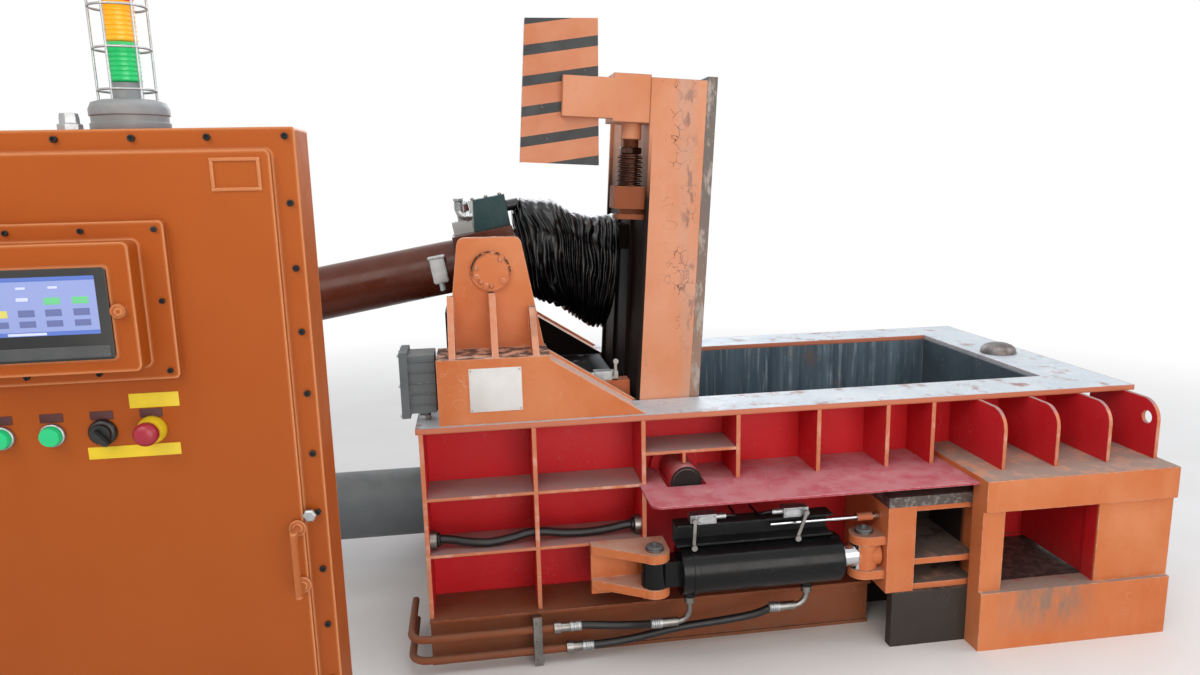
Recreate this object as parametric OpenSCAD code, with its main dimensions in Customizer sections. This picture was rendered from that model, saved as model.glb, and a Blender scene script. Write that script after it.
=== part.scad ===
// Hydraulic scrap-metal baler with its free-standing control cabinet.
// Millimetres. X runs along the main press stroke, Y across the machine, Z up.
// The origin is on the floor, under the lid's hinge axis, on the centre line of the press chamber.

/* [Press box] */
// From the lid hinge axis to the left end of the box
left_l = 970; // [930:1:1000]
// From the lid hinge axis to the right end of the deck
right_l = 1856; // [1840:1:1900]
// Clear width of the press chamber
chamber_w = 950; // [930:1:970]
// From the lid hinge axis to the right end of the chamber
chamber_r = 1595; // [1585:1:1610]
// Thickness of the chamber walls
wall_t = 27; // [22:1:32]
// Depth of the stiffening ribs in front of the walls
rib_d = 190; // [180:1:205]
// Thickness of the rib plates
rib_t = 16; // [12:1:20]
// Height of the base beams
base_h = 189; // [180:1:200]
// Height of the chamber floor's wearing face
floor_z = 233; // [225:1:240]
// Height of the deck's underside
deck_z = 900; // [890:1:915]
// Thickness of the deck plate
deck_t = 21; // [16:1:26]
// Height of the long shelf in the rib cells
shelf_z = 645; // [640:1:652]
// Height of the lower shelf in the rib cells
low_shelf_z = 426; // [415:1:435]
// Thickness of the shelf plates
shelf_t = 12; // [8:1:16]

/* [Bale outlet] */
// Width of the bale outlet
outlet_w = 383; // [370:1:395]
// Height of the bale outlet
outlet_h = 319; // [305:1:323]
// From the lid hinge axis to the outlet's left edge
outlet_x = 1148; // [1146:1:1156]
// From the rib faces to the front of the outlet's portal
portal_out = 282; // [270:1:300]
// Thickness of the portal's front frame
portal_t = 90; // [80:1:100]
// Height of the portal's top
portal_top = 673; // [668:1:690]

/* [Gate] */
// Travel of the outlet gate
gate_stroke = 415; // [412:1:418]
// Width of the outlet gate
gate_w = 388; // [387:1:392]
// Outer diameter of the gate cylinder
gate_barrel_d = 184; // [170:1:196]
// Diameter of the gate cylinder's rod
gate_rod_d = 90; // [70:1:100]
// Diameter of the gate cylinder's pins
gate_pin_d = 60; // [50:1:66]
// Height of the gate cylinder's axis
gate_cyl_z = 358; // [350:1:366]
// From the rib faces to the gate cylinder's axis
gate_cyl_out = 115; // [108:1:122]

/* [Rams] */
// Diameter of the main ram's rod
main_rod_d = 140; // [110:1:160]
// Outer diameter of the main cylinder
main_barrel_d = 290; // [260:1:300]
// Length of the main ram's head
main_head_l = 350; // [300:1:380]
// Diameter of the side ram's rod
side_rod_d = 110; // [90:1:130]
// Outer diameter of the side cylinder
side_barrel_d = 220; // [200:1:240]
// Running clearance of the rams in the chamber
ram_gap = 4; // [3:1:6]

/* [Lid] */
// Height of the lid's hinge axis
hinge_z = 662; // [655:1:668]
// Diameter of the lid's hinge shaft
hinge_d = 120; // [100:1:130]
// Length of the lid from the hinge axis to its tip
lid_l = 1476; // [1460:1:1485]
// Depth of the lid's box section behind the hinge axis
lid_back = 140; // [130:1:150]
// Depth of the lid's box section in front of the hinge axis
lid_front = 61; // [55:1:63]
// Thickness of the lid's wear plate
lid_liner_t = 38; // [30:1:39]
// Side clearance of the lid in the chamber
lid_gap = 5; // [4:1:8]
// Lean of the open lid over the chamber, in degrees
lid_lean = 3.5; // [3.5:0.1:3.6]

/* [Lid cylinder] */
// Height of the trunnion axis
trunnion_z = 1453; // [1440:1:1460]
// From the lid hinge axis back to the trunnion axis
trunnion_x = 684; // [670:1:700]
// Diameter of the trunnion shafts
trunnion_d = 100; // [80:1:110]
// Outer diameter of the lid cylinder
lid_barrel_d = 220; // [200:1:230]
// Diameter of the lid cylinder's rod
lid_rod_d = 110; // [90:1:120]
// From the hinge axis along the lid to the rod's pin
rod_pin_u = 865; // [855:1:875]
// From the hinge axis out of the lid's back to the rod's pin
rod_pin_n = 233; // [228:1:240]
// Largest radius of the pleated sleeve over the rod
sleeve_r = 262; // [230:1:280]

/* [Pedestals] */
// Height of the ledge that carries the trunnion plates
ledge_z = 1161; // [1150:1:1170]
// Thickness of the trunnion plates
trunnion_plate_t = 40; // [30:1:50]
// Inner face of each pedestal, from the centre line
pedestal_in = 440; // [430:1:450]

/* [Control cabinet] */
// Width of the cabinet
cab_w = 800; // [780:1:900]
// Height of the cabinet
cab_h = 1887; // [1860:1:1920]
// Depth of the cabinet's cover flange
cab_cover_t = 110; // [100:1:120]
// Depth of the cabinet's body behind the cover
cab_body_d = 260; // [220:1:320]
// Diameter of the stop button
stop_d = 40; // [34:1:44]
// Distance between the cabinet's push buttons
button_pitch = 78; // [74:1:82]

/* [Hidden] */
$fn = 64;

wall_in = chamber_w / 2;
wall_out = wall_in + wall_t;
rib_out = wall_out + rib_d;
deck_top = deck_z + deck_t;
end_x = chamber_r + wall_t;
outlet_r = outlet_x + outlet_w;
outlet_top = floor_z + outlet_h;
seat = 0.3;

// One box between two corners
module block(x0, x1, y0, y1, z0, z1) {
    translate([x0, y0, z0]) cube([x1 - x0, y1 - y0, z1 - z0]);
}

// The outline, drawn in X and Z, as a plate that starts at y0 and is t thick
module plate_xz(y0, t) {
    translate([0, y0 + t, 0]) rotate([90, 0, 0]) linear_extrude(t) children();
}

// The outline, drawn in Y and Z, as a plate that starts at x0 and is t thick
module plate_yz(x0, t) {
    translate([x0, 0, 0]) rotate([90, 0, 90]) linear_extrude(t) children();
}

// Round bars along the three axes, from their first end
module bar_x(x, y, z, l, d) {
    translate([x, y, z]) rotate([0, 90, 0]) cylinder(h = l, d = d);
}

module bar_y(x, y, z, l, d) {
    translate([x, y + l, z]) rotate([90, 0, 0]) cylinder(h = l, d = d);
}

module bar_z(x, y, z, l, d) {
    translate([x, y, z]) cylinder(h = l, d = d);
}

// A rectangle with round corners, between two corners
module round_rect(x0, y0, x1, y1, r) {
    translate([x0 + r, y0]) square([x1 - x0 - 2 * r, y1 - y0]);
    translate([x0, y0 + r]) square([x1 - x0, y1 - y0 - 2 * r]);
    for (x = [x0 + r, x1 - r], y = [y0 + r, y1 - r]) translate([x, y]) circle(r);
}

module mirrored_y() {
    children();
    mirror([0, 1, 0]) children();
}

// The base

web_t = 20;
beam_flange_t = 12;
beam_lip = 20;
gate_x0 = outlet_x + outlet_w + 2 - gate_stroke - gate_w;
front_beam_r = gate_x0 + 25;

// A channel beam along one long side of the base, from x0 to x1
module base_beam(x0, x1) {
    block(x0, x1, -rib_out + beam_lip / 2, -rib_out + beam_lip / 2 + web_t, beam_flange_t,
            base_h - beam_flange_t);
    block(x0, x1, -rib_out - beam_lip, -wall_in, base_h - beam_flange_t, base_h);
    block(x0, x1, -rib_out, -wall_in, 0, beam_flange_t);
    block(x0, x1, -wall_in - web_t, -wall_in, beam_flange_t, base_h - beam_flange_t);
}

cross_beam_w = 120;
foot_r = 1780;

module base_frame() {
    color("chocolate") {
        base_beam(-left_l, front_beam_r);
        mirror([0, 1, 0]) base_beam(-left_l, foot_r);
        block(front_beam_r, foot_r, -wall_in - web_t, -wall_in, 0, base_h);
        for (x = [-left_l, -cross_beam_w / 2, front_beam_r - cross_beam_w, foot_r - cross_beam_w])
            block(x, x + cross_beam_w, -wall_in, wall_in, 0, base_h);
    }
}

// The chamber

module wall_outline() {
    translate([-left_l, base_h]) square([left_l + end_x, deck_z - base_h]);
}

module outlet_outline() {
    translate([outlet_x, floor_z]) square([outlet_w, outlet_h]);
}

module front_wall() {
    color("firebrick") plate_xz(-wall_out, wall_t) difference() {
        wall_outline();
        outlet_outline();
        translate([0, hinge_z]) circle(d = hinge_d + 2 * seat);
    }
}

module rear_wall() {
    color("firebrick") plate_xz(wall_in, wall_t) difference() {
        wall_outline();
        outlet_outline();
        translate([0, hinge_z]) circle(d = hinge_d + 2 * seat);
    }
}

main_z = floor_z + outlet_h / 2;
roof_t = 30;
roof_gap = 8;
roof_r = -150;

// The left and right ends of the chamber, the roof over the main ram and the block beside the outlet
module end_walls() {
    color("slategray") {
        difference() {
            block(-left_l, -left_l + wall_t, -wall_in, wall_in, floor_z, deck_z);
            bar_x(-left_l - 1, 0, main_z, wall_t + 2, main_barrel_d + 2 * seat);
        }
        block(chamber_r, end_x, -wall_in, wall_in, floor_z, deck_z);
        block(-left_l + wall_t, roof_r, -wall_in, wall_in, outlet_top + roof_gap,
                outlet_top + roof_gap + roof_t);
        block(outlet_r, chamber_r, -wall_in, wall_in, floor_z, outlet_top);
    }
}

module chamber_floor() {
    color("slategray") block(-left_l, end_x, -wall_in, wall_in, base_h, floor_z);
}

deck_gap = 12;
deck_open_x = -lid_back - deck_gap;
deck_over = 10;

module deck_plate() {
    color("gainsboro") difference() {
        block(-left_l - deck_over, right_l, -rib_out, rib_out, deck_z, deck_top);
        block(deck_open_x, chamber_r, -wall_in, wall_in, deck_z - 1, deck_top + 1);
    }
}

// The ribs and shelves that make the cells in the front wall

cell_x = [-left_l, -567, -162];
upper_x = [202, 521, 801, 989];
hose_hole_d = 60;
hose_y = -640;
hose_z = low_shelf_z + shelf_t + 40;

module rib(x, z0) {
    block(x, x + rib_t, -rib_out, -wall_out, z0, deck_z);
}

rear_x = [-left_l, -567, -162, 202, 521, 801, 1060, 1394, 1606];

// The ribs on both walls. Those over the side ram's box start above it.
module wall_ribs() {
    color("darkorange") {
        for (x = cell_x) difference() {
            rib(x, base_h);
            bar_x(x - 1, hose_y, hose_z, rib_t + 2, hose_hole_d);
        }
        for (x = upper_x) rib(x, shelf_z + cover_t);
        for (x = rear_x) {
            over_box = x > outlet_x - 50 && x < outlet_r + 50;
            mirror([0, 1, 0]) rib(x, over_box ? outlet_top + 90 : base_h);
        }
    }
}

upper_shelf_z = 765;

module shelf(x0, x1, z) {
    block(x0 + rib_t, x1, -rib_out, -wall_out, z, z + shelf_t);
}

small_rib = 60;

// The shelves between the ribs and the small rib over the hinge shaft's end
module front_shelves() {
    color("darkorange") {
        for (i = [0:1], z = [low_shelf_z, shelf_z]) shelf(cell_x[i], cell_x[i + 1], z);
        shelf(cell_x[2], upper_x[0], upper_shelf_z);
        block(-shelf_t / 2, shelf_t / 2, -rib_out, -rib_out + small_rib,
            hinge_z + hinge_d / 2 + 4, upper_shelf_z + 1);
    }
}

// The outlet's portal, its gussets and the gate's sill

portal_front = -rib_out - portal_out;
portal_in = portal_front + portal_t;
portal_x0 = 1060;
portal_x1 = 1840;
portal_skin = 27;
portal_step = 18;

module outlet_portal() {
    color("darkorange") {
        plate_xz(portal_front + portal_step, portal_t - portal_step) difference() {
            translate([portal_x0, 0]) square([portal_x1 - portal_x0, portal_top]);
            outlet_outline();
        }
        for (z = [[0, floor_z], [outlet_top, portal_top]])
            block(portal_x0, portal_x1, portal_front, portal_front + portal_step + 1, z[0], z[1]);
        block(portal_x0, portal_x1, portal_in, -wall_out, portal_top - portal_skin, portal_top);
        block(portal_x1 - portal_skin, portal_x1, portal_in, -wall_out, 0, portal_top - portal_skin);
    }
    color("firebrick") block(outlet_r + gate_side_gap, outlet_r + gate_side_gap + portal_skin,
        portal_in, -wall_out, floor_z, outlet_top);
}

gusset_x = [1178, 1394, 1610, 1813];
gusset_out = 179;
gusset_t = 14;
gusset_r = 80;
lift_hole_d = 50;
lift_y = -818;
lift_z = 826;

// One gusset between the portal's top and the deck, with a round upper corner
module gusset(x) {
    plate_yz(x, gusset_t) {
        translate([-rib_out, portal_top]) square([rib_out - wall_out, deck_z - portal_top]);
        translate([-rib_out - gusset_out, portal_top])
            square([gusset_out, deck_z - gusset_r - portal_top]);
        translate([-rib_out - gusset_out + gusset_r, portal_top])
            square([gusset_out - gusset_r, deck_z - portal_top]);
        translate([-rib_out - gusset_out + gusset_r, deck_z - gusset_r]) circle(gusset_r);
    }
}

module portal_gussets() {
    color("darkorange") {
        for (i = [0:2]) gusset(gusset_x[i]);
        difference() {
            gusset(gusset_x[3]);
            bar_x(gusset_x[3] - 1, lift_y, lift_z, gusset_t + 2, lift_hole_d);
        }
    }
}

gate_side_gap = 6;
gate_back = -wall_out - 4;
gate_front = portal_in + 4;
gate_z0 = floor_z - 12;
gate_z1 = outlet_top + 8;
sill_t = 25;
sill_h = gate_z0 - seat;

module gate_sill() {
    color("dimgray") {
        block(front_beam_r, portal_x1 - portal_skin, portal_in, -wall_out, sill_h - sill_t, sill_h);
        for (y = [portal_in, -wall_out - 40])
            block(front_beam_r, portal_x1 - portal_skin, y, y + 40, 0, sill_h - sill_t);
    }
}

// The plate over the gate cylinder, with a slot for the end of the hinge shaft

cover_t = 8;
cover_out = 232;
cover_r = 40;
cover_edge = 60;
shaft_slot = 152;

module cylinder_cover() {
    color("indianred") translate([0, 0, shelf_z]) linear_extrude(cover_t) difference() {
        union() {
            translate([cell_x[2] + rib_t, -rib_out]) square([portal_x0 - cell_x[2] - rib_t,
                    rib_out - wall_out]);
            round_rect(cell_x[2] - 9, -rib_out - cover_out, portal_x0, -rib_out, cover_r);
            translate([cell_x[2] - 9, -rib_out - cover_edge])
                square([portal_x0 - cell_x[2] + 9, cover_edge]);
            translate([portal_x0 - cover_edge, -rib_out - cover_out]) square([cover_edge, cover_out]);
        }
        translate([-shaft_slot / 2, -rib_out - 45]) square([shaft_slot, 45 + rib_d]);
    }
}

// The pedestals that carry the trunnions

ped_l = -895;
ped_top_r = -487;
ped_foot_r = -138;
ped_plate = 25;
ped_out = rib_out - 20;
ledge_t = 16;
tp_y = pedestal_in + trunnion_plate_t;
tp_top = 1578;
tp_top_l = -803;
tp_top_r = -571;
tp_foot_l = -856;
tp_foot_r = -494;
tp_round = 28;
gusset_head = 30;
gusset_w = 24;
gusset_lip = 14;

// The upper plate's outline, with round upper corners
module trunnion_outline() {
    difference() {
        union() {
            polygon([[tp_foot_l, ledge_z], [tp_foot_r, ledge_z], [tp_top_r + 6, tp_top - tp_round],
                [tp_top_l - 3, tp_top - tp_round]]);
            translate([tp_top_l + tp_round, tp_top - tp_round])
                square([tp_top_r - tp_top_l - 2 * tp_round, tp_round]);
            for (x = [tp_top_l + tp_round - 2, tp_top_r - tp_round + 5])
                translate([x, tp_top - tp_round]) circle(tp_round);
        }
        translate([-trunnion_x, trunnion_z]) circle(d = trunnion_d + 2 * seat);
    }
}

// One upright gusset in front of the upper plate. Its front edge slopes from the height top to the ledge
module trunnion_gusset(x, top) {
    plate_yz(x - gusset_w / 2, gusset_w) polygon([[-tp_y, ledge_z], [-ped_out + gusset_lip, ledge_z],
        [-tp_y - gusset_head, top], [-tp_y, top]]);
}

module pedestal() {
    color("darkorange") {
        for (y = [-ped_out, -pedestal_in - ped_plate]) plate_xz(y, ped_plate)
            polygon([[ped_l, deck_top], [ped_foot_r, deck_top], [ped_top_r, ledge_z - ledge_t], [ped_l,
                    ledge_z - ledge_t]]);
        block(ped_l, ped_top_r, -ped_out, -pedestal_in, ledge_z - ledge_t, ledge_z);
        block(ped_l, ped_l + ped_plate, -ped_out + ped_plate, -pedestal_in - ped_plate, deck_top,
                ledge_z - ledge_t);
        plate_xz(-ped_out + ped_plate, ped_out - pedestal_in - 2 * ped_plate)
            polygon([[ped_foot_r - 60, deck_top], [ped_foot_r - 20, deck_top], [ped_top_r - 20,
                    ledge_z - ledge_t],
                [ped_top_r - 60, ledge_z - ledge_t]]);
        plate_xz(-tp_y, trunnion_plate_t) trunnion_outline();
        trunnion_gusset(-838, 1366);
        trunnion_gusset(-trunnion_x, trunnion_z - cap_d / 2 - 6);
        trunnion_gusset(-537, 1316);
    }
}

module pedestals() {
    mirrored_y() pedestal();
}

cap_d = 148;
cap_t = 16;
cap_bolt_pcd = 112;

// The round covers over the trunnions, each with three screws
module trunnion_caps() {
    color("chocolate") mirrored_y() {
        bar_y(-trunnion_x, -tp_y - cap_t, trunnion_z, cap_t, cap_d);
        for (a = [-40, 200, 250]) translate([cap_bolt_pcd / 2 * cos(a), 0, cap_bolt_pcd / 2 * sin(a)])
            bar_y(-trunnion_x, -tp_y - cap_t - 8, trunnion_z, 8, 18);
    }
}

// The lid's hinge shaft, with its collars on the walls

shaft_out = rib_out + 30;

module hinge_shaft() {
    color("firebrick") bar_y(0, -shaft_out, hinge_z, 2 * shaft_out, hinge_d);
    color("black") mirrored_y() bar_y(0, -shaft_out - 3, hinge_z, 3, hinge_d - 20);
}

collar_t = 25;
collar_d = 190;

module collar(y) {
    difference() {
        bar_y(0, y, hinge_z, collar_t, collar_d);
        bar_y(0, y - 1, hinge_z, collar_t + 2, hinge_d + 2 * seat);
    }
}

// The front collar ends at the plate over the gate cylinder
module hinge_collars() {
    color("firebrick") {
        difference() {
            collar(-wall_out - collar_t);
            block(-collar_d, collar_d, -rib_out, 0, 0, shelf_z + cover_t);
        }
        collar(wall_out);
    }
}

// The main ram

main_stroke = outlet_x - 2 + 5;
main_face = -5;
main_back = main_face - main_head_l;
main_barrel_r = main_back - 30;
main_barrel_l = main_barrel_r - main_stroke - 230;
main_flange_d = 400;
main_flange_t = 40;

module main_cylinder() {
    color("dimgray") difference() {
        union() {
            bar_x(main_barrel_l, 0, main_z, main_barrel_r - main_barrel_l, main_barrel_d);
            bar_x(-left_l - main_flange_t, 0, main_z, main_flange_t - seat, main_flange_d);
            bar_x(main_barrel_l - 30, 0, main_z, 60, main_barrel_d + 26);
        }
        bar_x(main_barrel_l + 40, 0, main_z, main_barrel_r - main_barrel_l, main_rod_d + 2 * seat);
    }
}

module main_ram_rod() {
    color("silver") bar_x(main_back - main_stroke - 180, 0, main_z, main_stroke + 180, main_rod_d);
}

module main_ram_head() {
    color("slategray") {
        block(main_face - 40, main_face, -wall_in + ram_gap, wall_in - ram_gap, floor_z + ram_gap,
                outlet_top - ram_gap);
        block(main_back + 30, main_face - 40, -wall_in + ram_gap + 60, wall_in - ram_gap - 60,
            floor_z + ram_gap, outlet_top - ram_gap - 20);
        block(main_back, main_back + 30, -wall_in + ram_gap, wall_in - ram_gap, floor_z + ram_gap,
                outlet_top - ram_gap);
    }
}

// The side ram, which pushes the bale out

side_x = outlet_x + outlet_w / 2;
side_out_travel = portal_out + rib_d - 20;
side_back_travel = 2 * wall_in + wall_t;
side_face = -wall_out - 1;
side_head_l = 200;
side_gap = 4;
side_box_l = 260;
side_box_t = 25;
side_box_y = wall_out + side_box_l;
side_rod_in = 100;
side_rod_y1 = side_box_y + side_out_travel + side_rod_in;
side_barrel_l = side_rod_y1 + side_back_travel + 50 - side_box_y;

// The cylinder at the back, its mounting plate and the box that the pusher draws back into
module side_cylinder() {
    color("dimgray") {
        difference() {
            union() {
                bar_y(side_x, side_box_y, main_z, side_barrel_l, side_barrel_d);
                bar_y(side_x, side_box_y + side_barrel_l - 60, main_z, 80, side_barrel_d + 30);
            }
            bar_y(side_x, side_box_y - 1, main_z, side_barrel_l - 30, side_rod_d + 2 * seat);
        }
    }
    color("darkorange") difference() {
        block(outlet_x - side_box_t, outlet_r + side_box_t, wall_out, side_box_y,
            floor_z - side_box_t, outlet_top + side_box_t);
        block(outlet_x, outlet_r, wall_out - 1, side_box_y - side_box_t, floor_z, outlet_top);
        bar_y(side_x, side_box_y - side_box_t - 1, main_z, side_box_t + 2, side_rod_d + 2 * seat);
    }
}

side_rod_y0 = side_face + side_head_l;

module side_ram_rod() {
    color("silver") bar_y(side_x, side_rod_y0, main_z, side_rod_y1 - side_rod_y0, side_rod_d);
}

module side_ram_head() {
    color("firebrick") {
        block(outlet_x + side_gap, outlet_r - side_gap, side_face, side_face + 40, floor_z + side_gap,
                outlet_top - side_gap);
        block(outlet_x + side_gap + 40, outlet_r - side_gap - 40, side_face + 40,
                side_face + side_head_l - 30,
            floor_z + side_gap, outlet_top - side_gap - 40);
        block(outlet_x + side_gap, outlet_r - side_gap, side_face + side_head_l - 30,
                side_face + side_head_l,
            floor_z + side_gap, outlet_top - side_gap);
    }
}

// The lid, drawn lying along +X from its hinge and turned up to its open place.
// In that flat drawing the back is up, so Z is the distance out of the lid's back.

lid_half = wall_in - lid_gap;
lid_tube_r = 95;
liner_u0 = 110;
liner_over = 14;

module open_lid() {
    translate([0, 0, hinge_z]) rotate([0, -90 + lid_lean, 0]) children();
}

module lid_body() {
    color("darkorange") open_lid() difference() {
        union() {
            plate_xz(-lid_half, 2 * lid_half) {
                polygon([[10, -lid_front], [lid_l, -lid_front], [lid_l, lid_back], [10, lid_back]]);
                circle(lid_tube_r);
            }
            for (y = [-lid_half, -170, 140, lid_half - 30]) block(120, lid_l, y, y + 30, lid_back,
                    lid_back + 12);
        }
        bar_y(0, -lid_half - 1, 0, 2 * lid_half + 2, hinge_d + 2 * seat);
    }
}

module lid_liner() {
    color("dimgray") open_lid() {
        block(liner_u0, lid_l + liner_over, -lid_half, lid_half, -lid_front - lid_liner_t, -lid_front);
        for (u = [260:300:1400], y = [-lid_half + 60, -150, 150, lid_half - 60])
            bar_z(u, y, -lid_front - lid_liner_t - 1.5, 1.5, 36);
    }
}

eye_w = 80;
eye_r = 62;
ear_gap = 8;
ear_t = 30;
ear_r = 52;

// Two ears on the lid's back, one each side of the rod's eye
module rod_bracket() {
    color("darkorange") open_lid() mirrored_y() plate_xz(-eye_w / 2 - ear_gap - ear_t, ear_t) {
        translate([rod_pin_u, rod_pin_n]) circle(ear_r);
        polygon([[rod_pin_u - ear_r, lid_back], [rod_pin_u + ear_r, lid_back],
            [rod_pin_u + ear_r, rod_pin_n], [rod_pin_u - ear_r, rod_pin_n]]);
    }
}

// The sprung lock on the lid's back: housing, rod through a stack of disc springs, and the yoke

lock_n = 205;
lock_y = -lid_half + 92;
lock_u0 = 1254;
lock_rod_d = 60;
lock_y0 = -lid_half + 5;
spring_n = 14;
spring_t = 6;
spring_pitch = 8.6;
yoke_u0 = 992;
yoke_u1 = 1077;
arm_n = 480;
housing_u0 = lock_u0 + 58;
housing_u1 = housing_u0 + 174;
housing_n1 = lock_n + 87;

module lock_housing() {
    color("darkorange") open_lid() {
        difference() {
            union() {
                block(housing_u0, housing_u1, lock_y0, lock_y0 + 175, lid_back + 12, housing_n1);
                bar_x(lock_u0, lock_y, lock_n, housing_u0 - lock_u0, 78);
                block(housing_u0 + 10, housing_u1 - 18, lock_y0, lock_y0 + 38, housing_n1, arm_n);
            }
            bar_x(lock_u0 - 1, lock_y, lock_n, 120, lock_rod_d + 2 * seat);
        }
    }
}

module lock_rod() {
    color("silver") open_lid() bar_x(yoke_u1, lock_y, lock_n, lock_u0 + 60 - yoke_u1, lock_rod_d);
    color("chocolate") open_lid() {
        block(yoke_u0, yoke_u1, lock_y - 60, lock_y + 60, lid_back + seat, 268);
        block(yoke_u0 - 40, yoke_u0 - 20, lock_y - 48, lock_y + 48, lid_back + seat, 252);
        block(yoke_u0 - 20, yoke_u0, lock_y - 18, lock_y + 18, lid_back + seat, 240);
    }
}

module disc_springs() {
    color("gray") open_lid() for (i = [0:spring_n - 1])
        translate([yoke_u1 + seat + i * spring_pitch, lock_y, lock_n]) rotate([0, 90, 0]) difference() {
            cylinder(h = spring_t, d = 100 - 10 * (i % 2));
            translate([0, 0, -1]) cylinder(h = spring_t + 2, d = lock_rod_d + 2 * seat);
        }
}

// The striped guard on the lock's arm: a flat plate with one folded edge on each side
guard_t = 5;
guard_y = lock_y0 + 38 + seat;
guard_u0 = lock_u0 - 104;
guard_u1 = guard_u0 + 528;
guard_n0 = lock_n + 126;
guard_n1 = guard_n0 + 296;
guard_fold = 6;

module guard_plate() {
    color("darkorange") open_lid() {
        plate_xz(guard_y, guard_t) polygon([[guard_u0, guard_n0], [guard_u1, guard_n0 + 24],
            [guard_u1 - 16, guard_n1 - 5], [guard_u0, guard_n1]]);
        plate_xz(guard_y, 45) polygon([[guard_u0, guard_n1 - guard_fold],
            [guard_u1 - 16, guard_n1 - 5 - guard_fold], [guard_u1 - 16, guard_n1 - 5], [guard_u0, guard_n1]]);
        plate_xz(guard_y, 28) polygon([[guard_u1 - 208, guard_n0 + 15], [guard_u1, guard_n0 + 24],
            [guard_u1, guard_n0 + 24 + guard_fold], [guard_u1 - 208, guard_n0 + 15 + guard_fold]]);
    }
}

// The lid cylinder. It is drawn lying along +X from the trunnion axis and tilted to its rest place.

pin_angle = 90 - lid_lean + atan2(rod_pin_n, rod_pin_u);
pin_r = sqrt(rod_pin_u * rod_pin_u + rod_pin_n * rod_pin_n);
pin_dx = pin_r * cos(pin_angle) + trunnion_x;
pin_dz = pin_r * sin(pin_angle) + hinge_z - trunnion_z;
cyl_tilt = atan2(pin_dz, pin_dx);
cyl_rest = sqrt(pin_dx * pin_dx + pin_dz * pin_dz);
pin_shut = atan2(rod_pin_n, rod_pin_u);
shut_dx = pin_r * cos(pin_shut) + trunnion_x;
shut_dz = pin_r * sin(pin_shut) + hinge_z - trunnion_z;
cyl_shut = sqrt(shut_dx * shut_dx + shut_dz * shut_dz);
lid_stroke = cyl_shut - cyl_rest;
barrel_head = 300;
barrel_tail = lid_stroke - barrel_head + 230;
trunnion_block = 250;

module tilted() {
    translate([-trunnion_x, 0, trunnion_z]) rotate([0, -cyl_tilt, 0]) children();
}

module lid_barrel() {
    color("saddlebrown") tilted() difference() {
        union() {
            bar_x(-barrel_tail, 0, 0, barrel_tail + barrel_head, lid_barrel_d);
            bar_x(-barrel_tail - 25, 0, 0, 50, lid_barrel_d + 24);
            block(-trunnion_block / 2, trunnion_block / 2, -trunnion_block / 2, trunnion_block / 2,
                -trunnion_block / 2, trunnion_block / 2);
            bar_y(0, -tp_y + seat, 0, 2 * tp_y - 2 * seat, trunnion_d);
            for (y = [-1, 1]) bar_y(0, y * (tp_y - trunnion_plate_t - seat) - (y > 0 ? 160 : 0), 0, 160,
                    trunnion_d + 50);
        }
        bar_x(-barrel_tail + 30, 0, 0, barrel_tail + barrel_head, lid_rod_d + 2 * seat);
    }
}

valve_z = trunnion_block / 2;

// The valve on top of the trunnion block: its two bodies and the indicator's dome
module valve_block() {
    color("dimgray") tilted() {
        block(-115, -30, -50, 50, valve_z + seat, valve_z + 55);
        bar_z(-60, 0, valve_z + 55, 34, 56);
        block(-30, 122, -60, 60, valve_z + seat, valve_z + 130);
    }
}

module lid_rod() {
    color("silver") tilted() bar_x(-barrel_tail + 60, 0, 0, barrel_tail - 60 + cyl_rest - eye_r - 10,
            lid_rod_d);
    color("dimgray") tilted() difference() {
        union() {
            translate([cyl_rest, eye_w / 2, 0]) rotate([90, 0, 0]) cylinder(h = eye_w, r = eye_r);
            block(cyl_rest - eye_r - 34, cyl_rest, -eye_w / 2, eye_w / 2, -eye_r, eye_r);
        }
        bar_y(cyl_rest, -eye_w / 2 - 1, 0, eye_w + 2, gate_pin_d + 2 * seat);
    }
}

module rod_pin() {
    color("silver") tilted() bar_y(cyl_rest, -eye_w / 2 - ear_gap / 2, 0, eye_w + ear_gap, gate_pin_d);
}

// The pleated sleeve over the rod. It is a cloth tube that sags under the rod towards the lid.
// Each station: distance along the cylinder, height of the ring's centre over the rod's axis,
// share of the largest radius, and the ring's lean in degrees.

sleeve_at = [[137, 0, 0.74, 0], [188, 0, 0.9, 0], [295, -48, 0.965, -4], [350, -98, 0.92, -8],
    [415, -140, 0.94, -13], [487, -158, 0.985, -17], [502, -150, 0.92, -17]];
sleeve_folds = 12;
sleeve_sides = 16;
fold_depth = 16;
cloth_t = 6;

// The station at the share t of the sleeve's length
function sleeve_mix(t) = let (s = min(t * (len(sleeve_at) - 1), len(sleeve_at) - 1.001), i = floor(s),
        f = s - i)
    sleeve_at[i] * (1 - f) + sleeve_at[i + 1] * f;
function sleeve_ring(m, r) = [for (k = [0:sleeve_sides - 1]) let (a = 360 * k / sleeve_sides)
    [m[0] - r * sin(a) * sin(m[3]), r * cos(a), m[1] + r * sin(a) * cos(m[3])]];

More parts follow.
